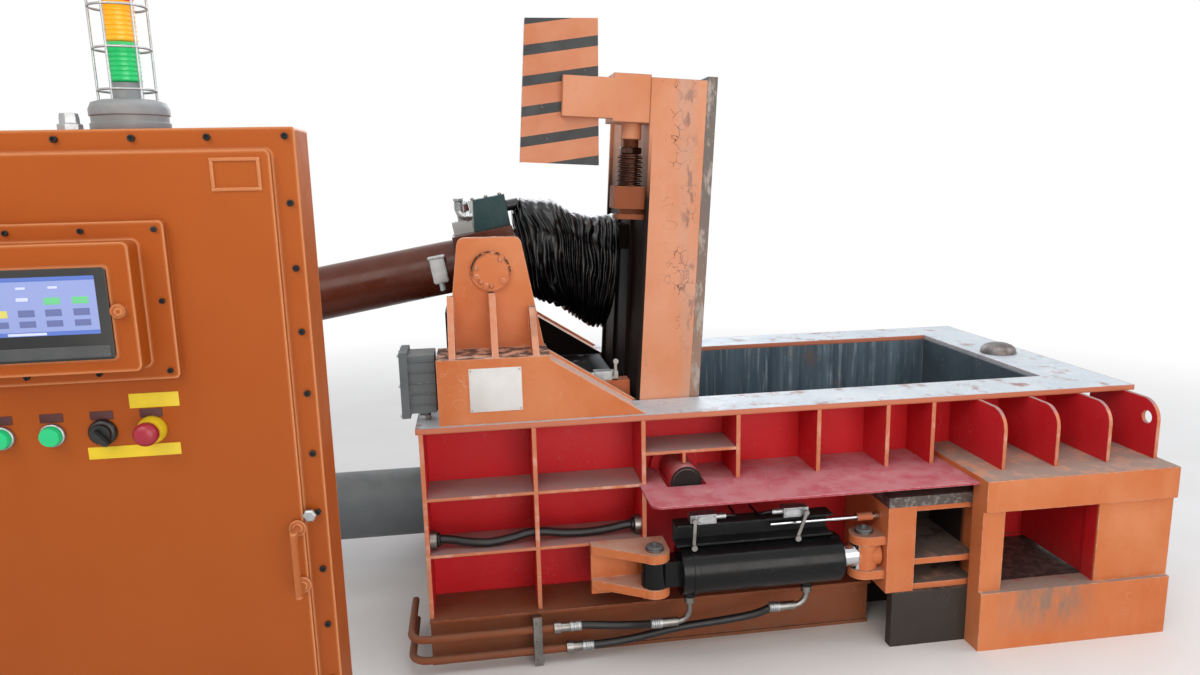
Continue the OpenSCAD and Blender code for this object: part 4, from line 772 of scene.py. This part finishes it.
PIPES, PIPE_Y, BACK_X, BACK_Y, BEND = ((0.137, -0.515), (0.054, -0.470)), -0.748, -0.980, -0.430, 0.060
pipes = []
for z, end_x in PIPES:
    bend = circle((BACK_X, PIPE_Y + BEND, z), BEND, range(0, 91, 6), (-1, 0, 0), FRONT)
    line = [Vector((BACK_X - BEND, BACK_Y, z))] + bend + [Vector((end_x, PIPE_Y, z))]
    pipes.append(tube(line, PIPE_D / 2, 24))
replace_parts(make_mesh("steel_lines", pipes, base_brown), "hydraulic_pipes")

# %% [markdown]
# The rod of the lid cylinder wears a sleeve of coated cloth. It is gathered on the barrel, swells out over the
# pedestals and sags under its own weight towards the lid. Its skin is a tube whose rings follow the CAD piece;
# each pleat comes from a wave along the tube, and noise makes the pleats uneven, as cloth is. A station gives
# the distance along the cylinder, the height over its axis, the share of the radius and the ring's lean.

# %% Sew the pleated sleeve
STATIONS = [(0.137, 0, 0.74, 0), (0.188, 0, 0.9, 0), (0.295, -0.048, 0.965, -4), (0.350, -0.098, 0.92, -8),
            (0.415, -0.140, 0.94, -13), (0.487, -0.158, 0.985, -17), (0.502, -0.150, 0.92, -17)]
SLEEVE_R, BARREL_R, CLOTH = 0.262, 0.110, 0.004
PLEATS, RINGS_PER_PLEAT, SIDES, PLEAT_DEPTH, LINING_DEPTH, LINING_RINGS = 18, 8, 128, 0.03, 0.052, 12


def sleeve_ring(t, radius):
    """The ring at the share t of the length; its radius is a function of the angle and the station's own."""
    i, f = divmod(min(t, 0.99999) * (len(STATIONS) - 1), 1)
    along, over, share, lean = (a * (1 - f) + b * f for a, b in zip(STATIONS[int(i)], STATIONS[int(i) + 1]))
    lean = math.radians(lean)
    ring = []
    for a in (2 * math.pi * k / SIDES for k in range(SIDES)):
        r = radius(a, SLEEVE_R * share)
        high = r * math.sin(a)
        ring.append(on_cylinder(along - high * math.sin(lean), r * math.cos(a), over + high * math.cos(lean)))
    return ring


def slack(a, t):
    """The cloth lies smoother on top towards the far end, where the rod runs close under it."""
    return 1 - 0.5 * max(0.0, math.sin(a)) * t


def pleated(t):
    """The radius of the pleated skin at the share t of its length."""
    def cloud(wide, along, shift=0.0):
        return lambda a: noise.noise(Vector((math.cos(a) * wide, math.sin(a) * wide, t * along + shift)))
    creases, sags = cloud(5, 9, 3), cloud(1.6, 3.2, 9)

    def radius(a, full):
        at = Vector((math.cos(a) * 1.7, math.sin(a) * 1.7, t * 6))
        shift = 0.8 * noise.noise(at * 0.8) + 0.2 * noise.noise(at * 2.3)
        depth = PLEAT_DEPTH * (0.66 + 0.9 * noise.noise(at * 1.4 + Vector((5, 1, 2))))
        wave = abs(math.cos(math.pi * (PLEATS * t + shift)))
        folds = max(depth, 0.006) * (1 - wave ** 0.75) + 0.004 * abs(creases(a)) + 0.016 * abs(sags(a))
        return full - CLOTH - folds * slack(a, t)
    return radius


count = PLEATS * RINGS_PER_PLEAT
skin = [sleeve_ring(0, lambda a, full: BARREL_R + 0.003), sleeve_ring(0, lambda a, full: full * 0.8)]
skin += [sleeve_ring(i / count, pleated(i / count)) for i in range(count + 1)]
lining = [sleeve_ring(t, lambda a, full: full - CLOTH - LINING_DEPTH * slack(a, t))
          for t in (i / LINING_RINGS for i in range(LINING_RINGS, 0, -1))]
lining.append([p + CYLINDER_AXIS * CLOTH for p in skin[0]])
sleeve = make_mesh("pleated_cloth_sleeve", loft(skin + lining, closed=True), sleeve_cloth, "lid_cylinder", 180)
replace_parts(sleeve, "pleated_sleeve")
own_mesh(sleeve)
print("sleeve:", len(sleeve.data.polygons), "faces")

# %% [markdown]
# On the cylinder sit the sleeve's strap, the valve's coils, elbow, sight dome and screws, and the end switch.
# The caps over the trunnions carry four bolts each.

# %% Dress the lid cylinder
ON_CYLINDER = "lid_cylinder"
r = BARREL_R / MM
STRAP = [(r, 0), (r + 5.5, 0), (r + 6, 1), (r + 6, 5), (r, 6)]
make_mesh("sleeve_strap", lathe(STRAP, on_cylinder(0.1235, 0, 0), CYLINDER_AXIS, 64), cast_zinc, ON_CYLINDER)

CAP_Y, CAP_BOLT_R, CAP_BOLT_ANGLES = 0.496, 0.055, (50, 165, 225, 270)
for side, name in ((-1, "front"), (1, "back")):
    spots = circle((TRUNNION.x, side * CAP_Y, TRUNNION.z), CAP_BOLT_R, CAP_BOLT_ANGLES)
    screws_at(name + "_cap_bolts", spots, (0, side, 0), 12, press_orange, shape=bolt)

spots = [on_cylinder(along, y, 0.255) for along in (-0.012, 0.046, 0.104) for y in (-0.046, 0.046)]
screws_at("valve_screws", spots, UP_AXIS, 14, turned_steel, ON_CYLINDER)
COIL = [(0, 0), (21, 0), (23, 2), (23, 50), (21, 52), (12, 53), (12, 60), (0, 61)]
coils = [lathe(COIL, on_cylinder(0.122, y, 0.205), CYLINDER_AXIS, 32) for y in (-0.022, 0.030)]
make_mesh("valve_solenoids", coils, black_plastic, ON_CYLINDER)

ELBOW_X, ELBOW_Y = -0.797, -0.050
route = (-0.740, 1.640), (-0.762, 1.637), (-0.785, 1.644), (ELBOW_X, 1.664), (ELBOW_X, 1.690)
ribbed = [p for d in range(2, 38, 4) for p in ((16.5, d), (18.5, d + 2))]
elbow = [tube(spline([(x, ELBOW_Y, z) for x, z in route]), 0.0155, 24),
         lathe([(0, 0)] + ribbed + [(0, 40)], (ELBOW_X, ELBOW_Y, 1.662), UP, 32),
         lathe([(0, 0), (23, 0), (23, 16), (0, 16)], (-0.752, ELBOW_Y, 1.638), (-1, 0, 0), 6),
         lathe([(0, 0), (21, 0), (23, 3), (23, 12), (0, 13)], (ELBOW_X, ELBOW_Y, 1.700), UP, 6)]
make_mesh("valve_elbow", elbow, cast_zinc, ON_CYLINDER, 30)

clear_plastic = Finish("clear_polycarbonate", IOR=1.58, Roughness=0.05, Transmission_Weight=0.9,
                       Base_Color="#f2f6f6")
clear_plastic.lay(clear_plastic.patches(20, 0.3, 0.7), "#e4ecec")
dome = lathe([(24.5, 2), (27.5, 2), (27.5, 30), (25.5, 40), (18, 49), (8, 53), (0, 53.5), (0, 51.5), (8, 51),
              (16.5, 47), (23.5, 39), (24.5, 30)], on_cylinder(-0.060, 0, 0.214), UP_AXIS, 40)
make_mesh("valve_clear_dome", dome, clear_plastic, ON_CYLINDER)
marker = lathe([(0, 0), (19, 0), (19, 20), (14, 30), (0, 33)], on_cylinder(-0.060, 0, 0.2145), UP_AXIS, 32)
make_mesh("valve_red_marker", marker, red_plastic, ON_CYLINDER)

case = [block(-0.030, 0.030, -0.02, 0.02, 0, 0.105, 0.004),
        block(-0.036, 0.036, -0.024, 0.024, 0.102, 0.112, 0.003),
        lathe([(0, 0), (13, 0), (13, -30), (10, -34), (0, -34)], (0, 0, 0), UP, 24)]
end_switch = make_mesh("barrel_end_switch", case, cast_zinc, ON_CYLINDER, 30)
end_switch.matrix_world = (Matrix.Translation(on_cylinder(-0.205, -0.128, -0.045))
                           @ Matrix.Rotation(-CYLINDER_TILT, 4, "Y"))
print("cylinder dressed")

# %% [markdown]
# The lock on the lid's back is a threaded rod through a stack of disc springs, held by a nut. The springs are
# coned, each one turned over on the next, and the nut presses them together when the lock travels. The thread
# is turned as rings, which is what shows of it at this size.

# %% Dress the lid
LOCK_Y, LOCK_OUT, LOCK_R_MM = -0.378, 0.205, 30
SPRINGS, SPRING_FOOT, SPRING_STEP, SPRING_BORE, SPRING_EDGE = 14, 1.0773, 0.0086, 30.5, 4.5


def on_lock(profile_mm, up, sides, closed=False):
    """A lathe about the lock's axis, up the lid from the hinge."""
    return lathe(profile_mm, on_lid(up, LOCK_Y, LOCK_OUT), LID_UP, sides, closed)


r = LOCK_R_MM
turns = [p for d in range(2, 30, 4) for p in ((r + 1.2, d), (r - 0.5, d + 2))]
thread = on_lock([(r - 1, 0)] + turns + [(r - 1, 30)], 1.2228, 48)
make_mesh("lock_thread", thread, spring_steel, "lid_lock", 30)
nut = [(r, 0), (43, 0), (46, 3), (46, 21), (43, 24), (r, 24)]
make_mesh("lock_nut", on_lock(nut, 1.1985, 6), spring_steel, "lid_lock", 25)
discs = []
for k in range(SPRINGS):
    inner, rim, outer = (0, 1.5, 50) if k % 2 == 0 else (1.5, 0, 45)
    profile = [(SPRING_BORE, inner), (outer - 1, rim), (outer, rim + 1), (outer, rim + SPRING_EDGE - 1),
               (outer - 1, rim + SPRING_EDGE), (SPRING_BORE, inner + SPRING_EDGE)]
    discs.append(on_lock(profile, SPRING_FOOT + SPRING_STEP * k, 64, closed=True))
stack = make_mesh("coned_disc_springs", discs, spring_steel, "lid", 30)
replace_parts(stack, "disc_springs")
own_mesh(stack)
print("lock dressed")

# %% [markdown]
# The gate's cylinder is a bought one: a barrel with a bolted head, a chromed rod and clevis pins with keeper
# plates. Its screws sit on the head's bolt circle. The two cast switches above it read the striker rod.

# %% Dress the gate cylinder and its switches
GATE_Y, GATE_Z, HEAD_X, HEAD_BOLT_R = -0.807, 0.358, 0.565, 0.068
head = (HEAD_X, GATE_Y, GATE_Z)
screws_at("gate_head_screws", circle(head, HEAD_BOLT_R, range(0, 360, 45), BACK), X_AXIS, 14, turned_steel)
wiper = lathe([(36.5, 0), (50, 0), (52, 3), (50, 10), (36.5, 12)], head, X_AXIS)
make_mesh("gate_rod_wiper", wiper, hose_rubber)
KEEPER = [(0, 0), (30, 0), (31, 1), (31, 7), (28, 9), (0, 9)]
for name, x, body in (("anchor", -0.141, "frame"), ("gate", 0.668, "gate")):
    keeper = [lathe(KEEPER, (x, GATE_Y, GATE_Z + 0.0935), UP, 32), bolt((x, GATE_Y, GATE_Z + 0.1015), UP, 17)]
    make_mesh(name + "_pin_keeper", keeper, machine_grey, body, 30)

SWITCH_Y, SWITCH_Z = -0.837, 0.5393
CABLE_STEPS = ((0.038, 0.022, 0.018), (0.060, 0.022, 0.018), (0.078, 0.030, 0.010), (0.086, 0.060, 0.004),
               (0.088, 0.137, 0.004))
covers, cables = [], []
for x0, x1, entry, away in ((0.014, 0.084, 0.084, 1), (0.340, 0.410, 0.340, -1)):
    covers.append(block(x0 + 0.003, x1 - 0.003, SWITCH_Y - 0.0022, SWITCH_Y + 0.003, SWITCH_Z + 0.004,
                        SWITCH_Z + 0.032, 0.0012))
    covers += [socket_screw((x, SWITCH_Y - 0.002, SWITCH_Z + dz), FRONT, 5)
               for x in (x0 + 0.008, x1 - 0.008) for dz in (0.009, 0.027)]
    route = [(entry + away * dx, SWITCH_Y + dy, SWITCH_Z + dz) for dx, dy, dz in CABLE_STEPS]
    cables.append(tube(spline(route), 0.005, 12))
make_mesh("switch_covers", covers, cast_zinc, sharp_deg=30)
make_mesh("switch_cables", cables, hose_rubber)
print("gate cylinder dressed")

# %% [markdown]
# Plates, screws and the small box on the press. The data plate keeps its four screws and its rim, and stays
# blank. The deck carries a cast dome on its centre line, to the right of the chamber.

# %% Dress the press
plate = [slab(-0.782, -0.594, 0.966, 1.126, -0.6735, -0.672, 0.003, 0.0004),
         slab(-0.776, -0.600, 0.972, 1.120, -0.6739, -0.6735, 0.002, 0.0002)]
make_mesh("blank_data_plate", plate, white_plate)
spots = [(x, -0.6737, z) for x in (-0.775, -0.601) for z in (0.973, 1.119)]
screws_at("data_plate_screws", spots, FRONT, 6, cast_zinc)

DOME = [(0, -1), (80, -1), (80, 6), (76, 22), (62, 36), (40, 45), (18, 48), (0, 49)]
make_mesh("deck_dome", lathe(DOME, (1.705, -0.010, 0.921), UP), worn_steel)

BOX_Y, BOX_Z = (-0.606, -0.535, -0.464), (0.951, 1.062, 1.174)
spots = [(-1.028, y, z) for y in BOX_Y for z in BOX_Z if (y, z) != (BOX_Y[1], BOX_Z[1])]
screws_at("junction_box_bolts", spots, (-1, 0, 0), 11, cast_zinc)
ribs = [block(-0.998, -0.905, -0.6035, -0.600, z, z + 0.006, 0.001)
        for z in (0.985, 1.025, 1.065, 1.105, 1.145)]
make_mesh("junction_box_ribs", ribs, machine_grey)
BOX_GLAND = [(0, 0), (22, 0), (22, -12), (17, -16), (17, -34), (0, -34)]
glands = [lathe(BOX_GLAND, (-0.948, y, 0.943), UP, 6) for y in (-0.570, -0.505)]
make_mesh("junction_box_glands", glands, cast_zinc, sharp_deg=30)

HOSE_RING = [(16.5, 0), (26, 0), (27, 2), (27, 10), (24, 13), (16.5, 14)]
rings = [lathe(HOSE_RING, (x, -0.640, 0.478), (away, 0, 0), 32) for x, away in ((-0.9297, 1), (-0.1863, -1))]
make_mesh("shelf_hose_rings", rings, black_plastic)
print("press dressed")

# %% [markdown]
# The cabinet is a flameproof one: a thick cast cover held by screws all round, a flanged window with the
# screen behind it, and sealed buttons. All plates stay bare, and a plain rim stands for the cast sign.

# %% Screws and plates of the cabinet
COVER_Y, PANEL_Y, FLANGE_Y, HOUSING_Y, SCREEN_Y = -2.172, -2.184, -2.200, -2.242, -2.248
COVER_TOP, COVER_FOOT, ROW_STEP, COLUMN_STEP = 1.872, 0.112, 0.109, 0.115
spots = [(x, COVER_Y, COVER_TOP - ROW_STEP * k) for x in (-1.038, -1.806) for k in range(16)]
spots += [(-1.044 - COLUMN_STEP * k, COVER_Y, z) for k in range(1, 7) for z in (COVER_TOP, COVER_FOOT)]
screws_at("cover_screws", spots, FRONT, 11, trim_black)
spots = [(x, FLANGE_Y, z) for x in (-1.247, -1.357, -1.467, -1.577) for z in (1.728, 1.495)]
spots += [(x, FLANGE_Y, 1.6115) for x in (-1.247, -1.577)]
screws_at("window_screws", spots, FRONT, 9, trim_black)

left, right, low, high, bar = -1.157, -1.078, 1.785, 1.839, 0.006
bars = ((left, right, high - bar, high), (left, right, low, low + bar),
        (left, left + bar, low + bar, high - bar), (right - bar, right, low + bar, high - bar))
make_mesh("blank_cast_boss", [slab(*sides, PANEL_Y - 0.003, PANEL_Y + 0.001, 0.0015, 0.001) for sides in bars],
          cabinet_orange)
FILM = PANEL_Y - 0.0012, PANEL_Y, 0.001, 0.0003
make_mesh("upper_blank_plate", slab(-1.324, -1.245, 1.430, 1.455, *FILM), yellow_plate)
make_mesh("lower_blank_plate", slab(-1.398, -1.251, 1.345, 1.366, *FILM), yellow_plate)
BUTTON_Z = 1.392
BUTTON_X = {"stop_button": -1.292, "selector": -1.370, "right_button": -1.448, "left_button": -1.526}
tags = [slab(x - 0.018, x + 0.018, 1.413, 1.428, *FILM) for x in BUTTON_X.values()]
make_mesh("button_tags", tags, tag_red)

HANDLE_X, HANDLE_Z = -1.072, (1.196, 1.088)
route = ((PANEL_Y + 0.001, 1.196), (-2.206, 1.196), (-2.222, 1.186), (-2.226, 1.166),
         (-2.226, 1.118), (-2.222, 1.098), (-2.206, 1.088), (PANEL_Y + 0.001, 1.088))
FOOT = [(0, 0), (14, 0), (15, -2), (15, -6), (10, -8), (0, -8)]
feet = [lathe(FOOT, (HANDLE_X, PANEL_Y, z), BACK, 24) for z in HANDLE_Z]
make_mesh("cabinet_handle", [tube(spline([(HANDLE_X, y, z) for y, z in route]), 0.0055)] + feet, cabinet_orange)
KEY = [(0, 0), (11, 0), (12, -2), (12, -8), (9, -10), (0, -10)]
make_mesh("cover_key_screw", lathe(KEY, (-1.050, PANEL_Y, 1.218), BACK, 6), cast_zinc, sharp_deg=25)
print("cabinet dressed")

# %% [markdown]
# The screen is lit from behind: thin tiles in plain colours, their places given as shares of its width and
# height. The fields stay empty. Beside it is the window's knob.

# %% Screen and its frame
SCREEN_X, SCREEN_Z, TILE = (-1.497, -1.327), (1.570, 1.662), 0.0004
KEY_X = (0.09, 0.23), (0.32, 0.46), (0.55, 0.69), (0.79, 0.93)


def lit(name, colour, strength):
    """A patch of the lit screen behind glass."""
    made = Finish(name, IOR=1.5, Roughness=0.12, Base_Color=colour, Emission_Color=colour,
                  Emission_Strength=strength)
    made.lay(made.patches(60, 0.3, 0.7), colour)
    return made


def tile(name, cells, finish, lift):
    """Rectangles on the screen, given as shares from left to right and from low to high."""
    (left, right), (low, high) = SCREEN_X, SCREEN_Z
    w, h, y = right - left, high - low, SCREEN_Y - 0.0006 - lift * 0.0003
    make_mesh(name, [slab(left + a * w, left + b * w, low + c * h, low + d * h, y, y + TILE, 0.0006, 0.0001)
                     for a, b, c, d in cells], finish)


bezel = slab(-1.514, -1.310, 1.528, 1.674, SCREEN_Y - 0.0004, SCREEN_Y + 0.004, 0.005, 0.0006)
make_mesh("screen_bezel", bezel, black_plastic)
strip = slab(-1.508, -1.316, 1.532, 1.551, SCREEN_Y - 0.0012, SCREEN_Y, 0.002, 0.0004)
make_mesh("bezel_strip", strip, smoked_plate)
tile("screen_field", [(0, 1, 0, 1)], lit("screen_pale_blue", "#7f8cbc", 0.4), 0)
tile("screen_bars", [(0, 1, 0.93, 1), (0, 1, 0, 0.07)], lit("screen_blue", "#4a63a8", 0.5), 1)
tile("screen_keys", [(a, b, 0.15, 0.26) for a, b in KEY_X] + [(a, b, 0.33, 0.45) for a, b in KEY_X[1:]],
     lit("screen_key_blue", "#565f8c", 0.45), 1)
tile("screen_green_keys", [(a, b, 0.53, 0.65) for a, b in KEY_X[2:]], lit("screen_green", "#5fb07c", 0.4), 1)
tile("screen_yellow_key", [KEY_X[0] + (0.33, 0.45)], lit("screen_yellow", "#bdb45a", 0.4), 1)
tile("screen_values", [(0.32, 0.42, 0.60, 0.66), (0.33, 0.41, 0.80, 0.84), (0.60, 0.68, 0.80, 0.84),
                       (0.21, 0.54, 0.012, 0.055)], lit("screen_white", "#b3bad6", 0.45), 2)
dial = lathe([(7.2, 0), (8.5, 0), (8.5, 0.4), (7.2, 0.4)],
             (SCREEN_X[0] + 0.020, SCREEN_Y - 0.0008, SCREEN_Z[0] + 0.070), FRONT, 40, closed=True)
make_mesh("screen_dial", dial, lit("screen_navy", "#2c3658", 0.3))
KNOB = [(0, 1), (11, 1), (12, -1), (12, -7), (10, -9.5), (4, -10.5), (0, -10.5)]
make_mesh("window_knob", lathe(KNOB, (-1.2985, HOUSING_Y, 1.604), BACK, 32), cabinet_orange)
print("screen lit")

# %% [markdown]
# The sealed buttons are turned parts. The ring of each one stays on the cover, while its cap rides on its own
# body, so that it still moves in its guide. The stop button is a mushroom cap over a yellow collar.

# %% Buttons
def turned(node, profile_mm):
    """A turned part at a button's place; its distances are out of the panel."""
    return lathe(profile_mm, (BUTTON_X[node], PANEL_Y, BUTTON_Z), FRONT)


CAP = [(0, -40), (10.5, -40), (10.5, 4), (16.2, 5), (16.4, 16.5), (15, 18.5), (8, 19.2), (0, 19.5)]
RING = [(16.8, 0), (19.5, 0), (20, 1), (20, 6), (19, 8), (17.2, 8.5), (16.8, 5)]
for node, body in (("left_button", "left_push_button"), ("right_button", "right_push_button")):
    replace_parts(make_mesh(node + "_lens", turned(node, CAP), green_glow, body), node)
rings = [turned(node, RING) for node in ("left_button", "right_button")]
make_mesh("button_rings", rings, cast_zinc, sharp_deg=60)

DIAL = [(12.5, 0), (21, 0), (22.5, 1.5), (22.5, 6), (18.5, 9.5), (12.5, 10)]
make_mesh("selector_ring", turned("selector", DIAL), black_plastic, sharp_deg=60)
LEVER_TURN = math.radians(-40)
lever_place = Matrix.Translation((BUTTON_X["selector"], 0, BUTTON_Z)) @ Matrix.Rotation(LEVER_TURN, 4, "Y")
points, faces = block(-0.0055, 0.0055, PANEL_Y - 0.030, PANEL_Y - 0.015, -0.0225, 0.010, 0.0022)
stem = turned("selector", [(0, -44), (10.5, -44), (10.5, 11), (16.5, 11.5), (17, 14), (15.5, 17), (0, 18)])
selector = [stem, ([lever_place @ Vector(p) for p in points], faces)]
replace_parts(make_mesh("selector_lever", selector, black_plastic, "selector_knob"), "selector")

MUSHROOM = [(0, -44), (10.5, -44), (10.5, 22), (14.5, 24), (19.5, 28), (20, 34), (18.5, 40), (13, 44.5),
            (6, 45.8), (0, 46)]
mushroom = turned("stop_button", MUSHROOM)
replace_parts(make_mesh("stop_mushroom", mushroom, red_plastic, "stop_push_button"), "stop_button")
COLLAR = [(11.8, 0), (22.5, 0), (23.5, 1), (23.5, 8), (21.5, 14), (20.5, 18), (11.8, 18.5)]
make_mesh("stop_collar", turned("stop_button", COLLAR), yellow_plate, sharp_deg=60)
print("buttons fitted")

# %% [markdown]
# The signal lamp has three ribbed lenses in a cage of bright wire, on a cast base with four screws.

# %% Signal lamp
LAMP_X, LAMP_Y, LAMP_Z = -1.333, -2.000, 1.887
LENS_FOOT, LENS_PITCH, CAGE_R, WIRE_R = 88, 68, 0.046, 0.0022
CAGE_RINGS = 0.075, 0.145, 0.215, 0.285, 0.300


def on_lamp(profile_mm):
    """A turned part on the lamp's axis; its distances are over the cabinet's top."""
    return lathe(profile_mm, (LAMP_X, LAMP_Y, LAMP_Z), UP, 64)


base = on_lamp([(0, -59), (45, -59), (45, 0.5), (63, 0.5), (65, 3), (65, 18), (62.5, 20), (62.5, 30), (65, 32),
                (65, 43), (60, 54), (48, 58), (26, 59), (23, 62), (23, 88), (0, 88)])
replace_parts(make_mesh("lamp_base", base, grey_plastic, sharp_deg=50), "signal_lamp")
spots = circle((LAMP_X, LAMP_Y, LAMP_Z + 0.050), 0.055, range(45, 360, 90), second=BACK)
screws_at("lamp_screws", spots, UP, 9, cast_zinc)
for k, (name, finish) in enumerate((("green", lens_green), ("amber", lens_amber), ("red", lens_red))):
    foot = LENS_FOOT + LENS_PITCH * k
    ribs = [(radius, start + d) for start in range(foot + 2, foot + 66, 8)
            for radius, d in ((25.5, 0), (27, 2), (27, 6), (25.5, 7.5))]
    ribbed = [(0, foot)] + ribs + [(24.5, foot + 67.5), (0, foot + 67.5)]
    make_mesh(name + "_lens", on_lamp(ribbed), finish, sharp_deg=20)
make_mesh("lamp_cap", on_lamp([(0, 292), (27, 292), (29, 294), (29, 302), (25, 306), (0, 306)]), grey_plastic)
wires = [tube([foot + Vector((0, 0, z)) for z in (0.050, 0.300)], WIRE_R, 10)
         for foot in circle((LAMP_X, LAMP_Y, LAMP_Z), CAGE_R, range(18, 360, 60), second=BACK)]
turn = [7.5 * k for k in range(49)]
wires += [tube(circle((LAMP_X, LAMP_Y, LAMP_Z + z), CAGE_R, turn, second=BACK), WIRE_R, 10) for z in CAGE_RINGS]
make_mesh("lamp_cage", wires, cast_zinc)
GLAND = [(0, 0), (19, 0), (19, 12), (15, 14), (15, 22), (13.5, 30), (0, 31)]
make_mesh("cable_gland", lathe(GLAND, (-1.389, -2.110, 1.8865), UP, 6), cast_zinc, sharp_deg=25)
print("lamp fitted")

# %% [markdown]
# The machine stands on a plain pale floor that fades to white far out. The camera sees a white background,
# while the light on the machine is a soft grey sky with five large lamps. The white reaches only rays that
# come from the camera, glints and glass.

# %% Stage and light
FADE_START, FADE_END, SKY_STRENGTH = 2.7, 7.0, 0.75


def seen_by_eye(tree):
    """1 for the rays that show the background: to the camera, through glass or off a shiny face."""
    paths = add(tree, "LightPath").outputs
    seen = add(tree, "Math", {0: paths["Is Camera Ray"], 1: paths["Is Transmission Ray"]}, operation="MAXIMUM")
    return add(tree, "Math", {0: seen.outputs[0], 1: paths["Is Glossy Ray"]}, operation="MAXIMUM").outputs[0]


ground = Finish("pale_floor", Roughness=0.85, Specular_IOR_Level=0.1, Emission_Color="#ffffff",
                Base_Color="#e6e4e1")
far = ground.add("VectorMath", {0: ground.where}, operation="LENGTH").outputs["Value"]
far = ground.add("MapRange", {"Value": far, "From Min": FADE_START, "From Max": FADE_END},
                 interpolation_type="SMOOTHSTEP").outputs[0]
faded = ground.every(far, seen_by_eye(ground.tree))
ground.lay(ground.patches(900, 0.3, 0.7), "#dfdcd8")
ground.lay(faded, "#000000")
ground.set("Emission Strength", faded)
bpy.ops.mesh.primitive_plane_add(size=80, location=(0, 0, 0))
floor = bpy.context.object
floor.name = "studio_floor"
floor.data.materials.append(ground.material)

world = bpy.data.worlds.new("soft_studio")
world.use_nodes = True
bpy.context.scene.world = world
tree = world.node_tree
seen = seen_by_eye(tree)
background = tree.nodes["Background"].inputs
sky = add(tree, "Mix", {"Factor": seen, 6: "#bfc4c9", 7: "#ffffff"}, data_type="RGBA").outputs[2]
plug(tree, background["Color"], sky)
plug(tree, background["Strength"], add(tree, "MapRange", {"Value": seen, "To Min": SKY_STRENGTH}).outputs[0])


def lamp(name, place, aim, size, watts, tint):
    """A large soft lamp that points at the aim."""
    data = bpy.data.lights.new(name, "AREA")
    data.shape, data.size, data.energy, data.color = "SQUARE", size, watts, linear(tint)[:3]
    made = bpy.data.objects.new(name, data)
    made.location = place
    made.rotation_euler = (Vector(aim) - Vector(place)).to_track_quat("-Z", "Y").to_euler()
    bpy.context.collection.objects.link(made)


lamp("high_left", (-3.0, -5.0, 5.0), (0.2, 0, 0.8), 3.5, 130, "#fff6ec")
lamp("low_front", (1.2, -7.0, 1.6), (0.6, -0.6, 0.5), 4.5, 190, "#fff8f2")
lamp("high_right", (5.5, -1.5, 4.5), (0.6, 0, 0.8), 3.5, 120, "#f1f5ff")
lamp("overhead", (0.6, -0.8, 6.2), (0.6, -0.3, 0.9), 4.0, 110, "#fbfcff")
lamp("behind", (0.5, 5.5, 4.5), (0, 0, 1.0), 4.0, 130, "#f4f7ff")
bpy.context.scene.view_settings.view_transform = "Standard"
print("stage set with five lamps")

# %% [markdown]

# %% Finish
bpy.context.view_layer.update()
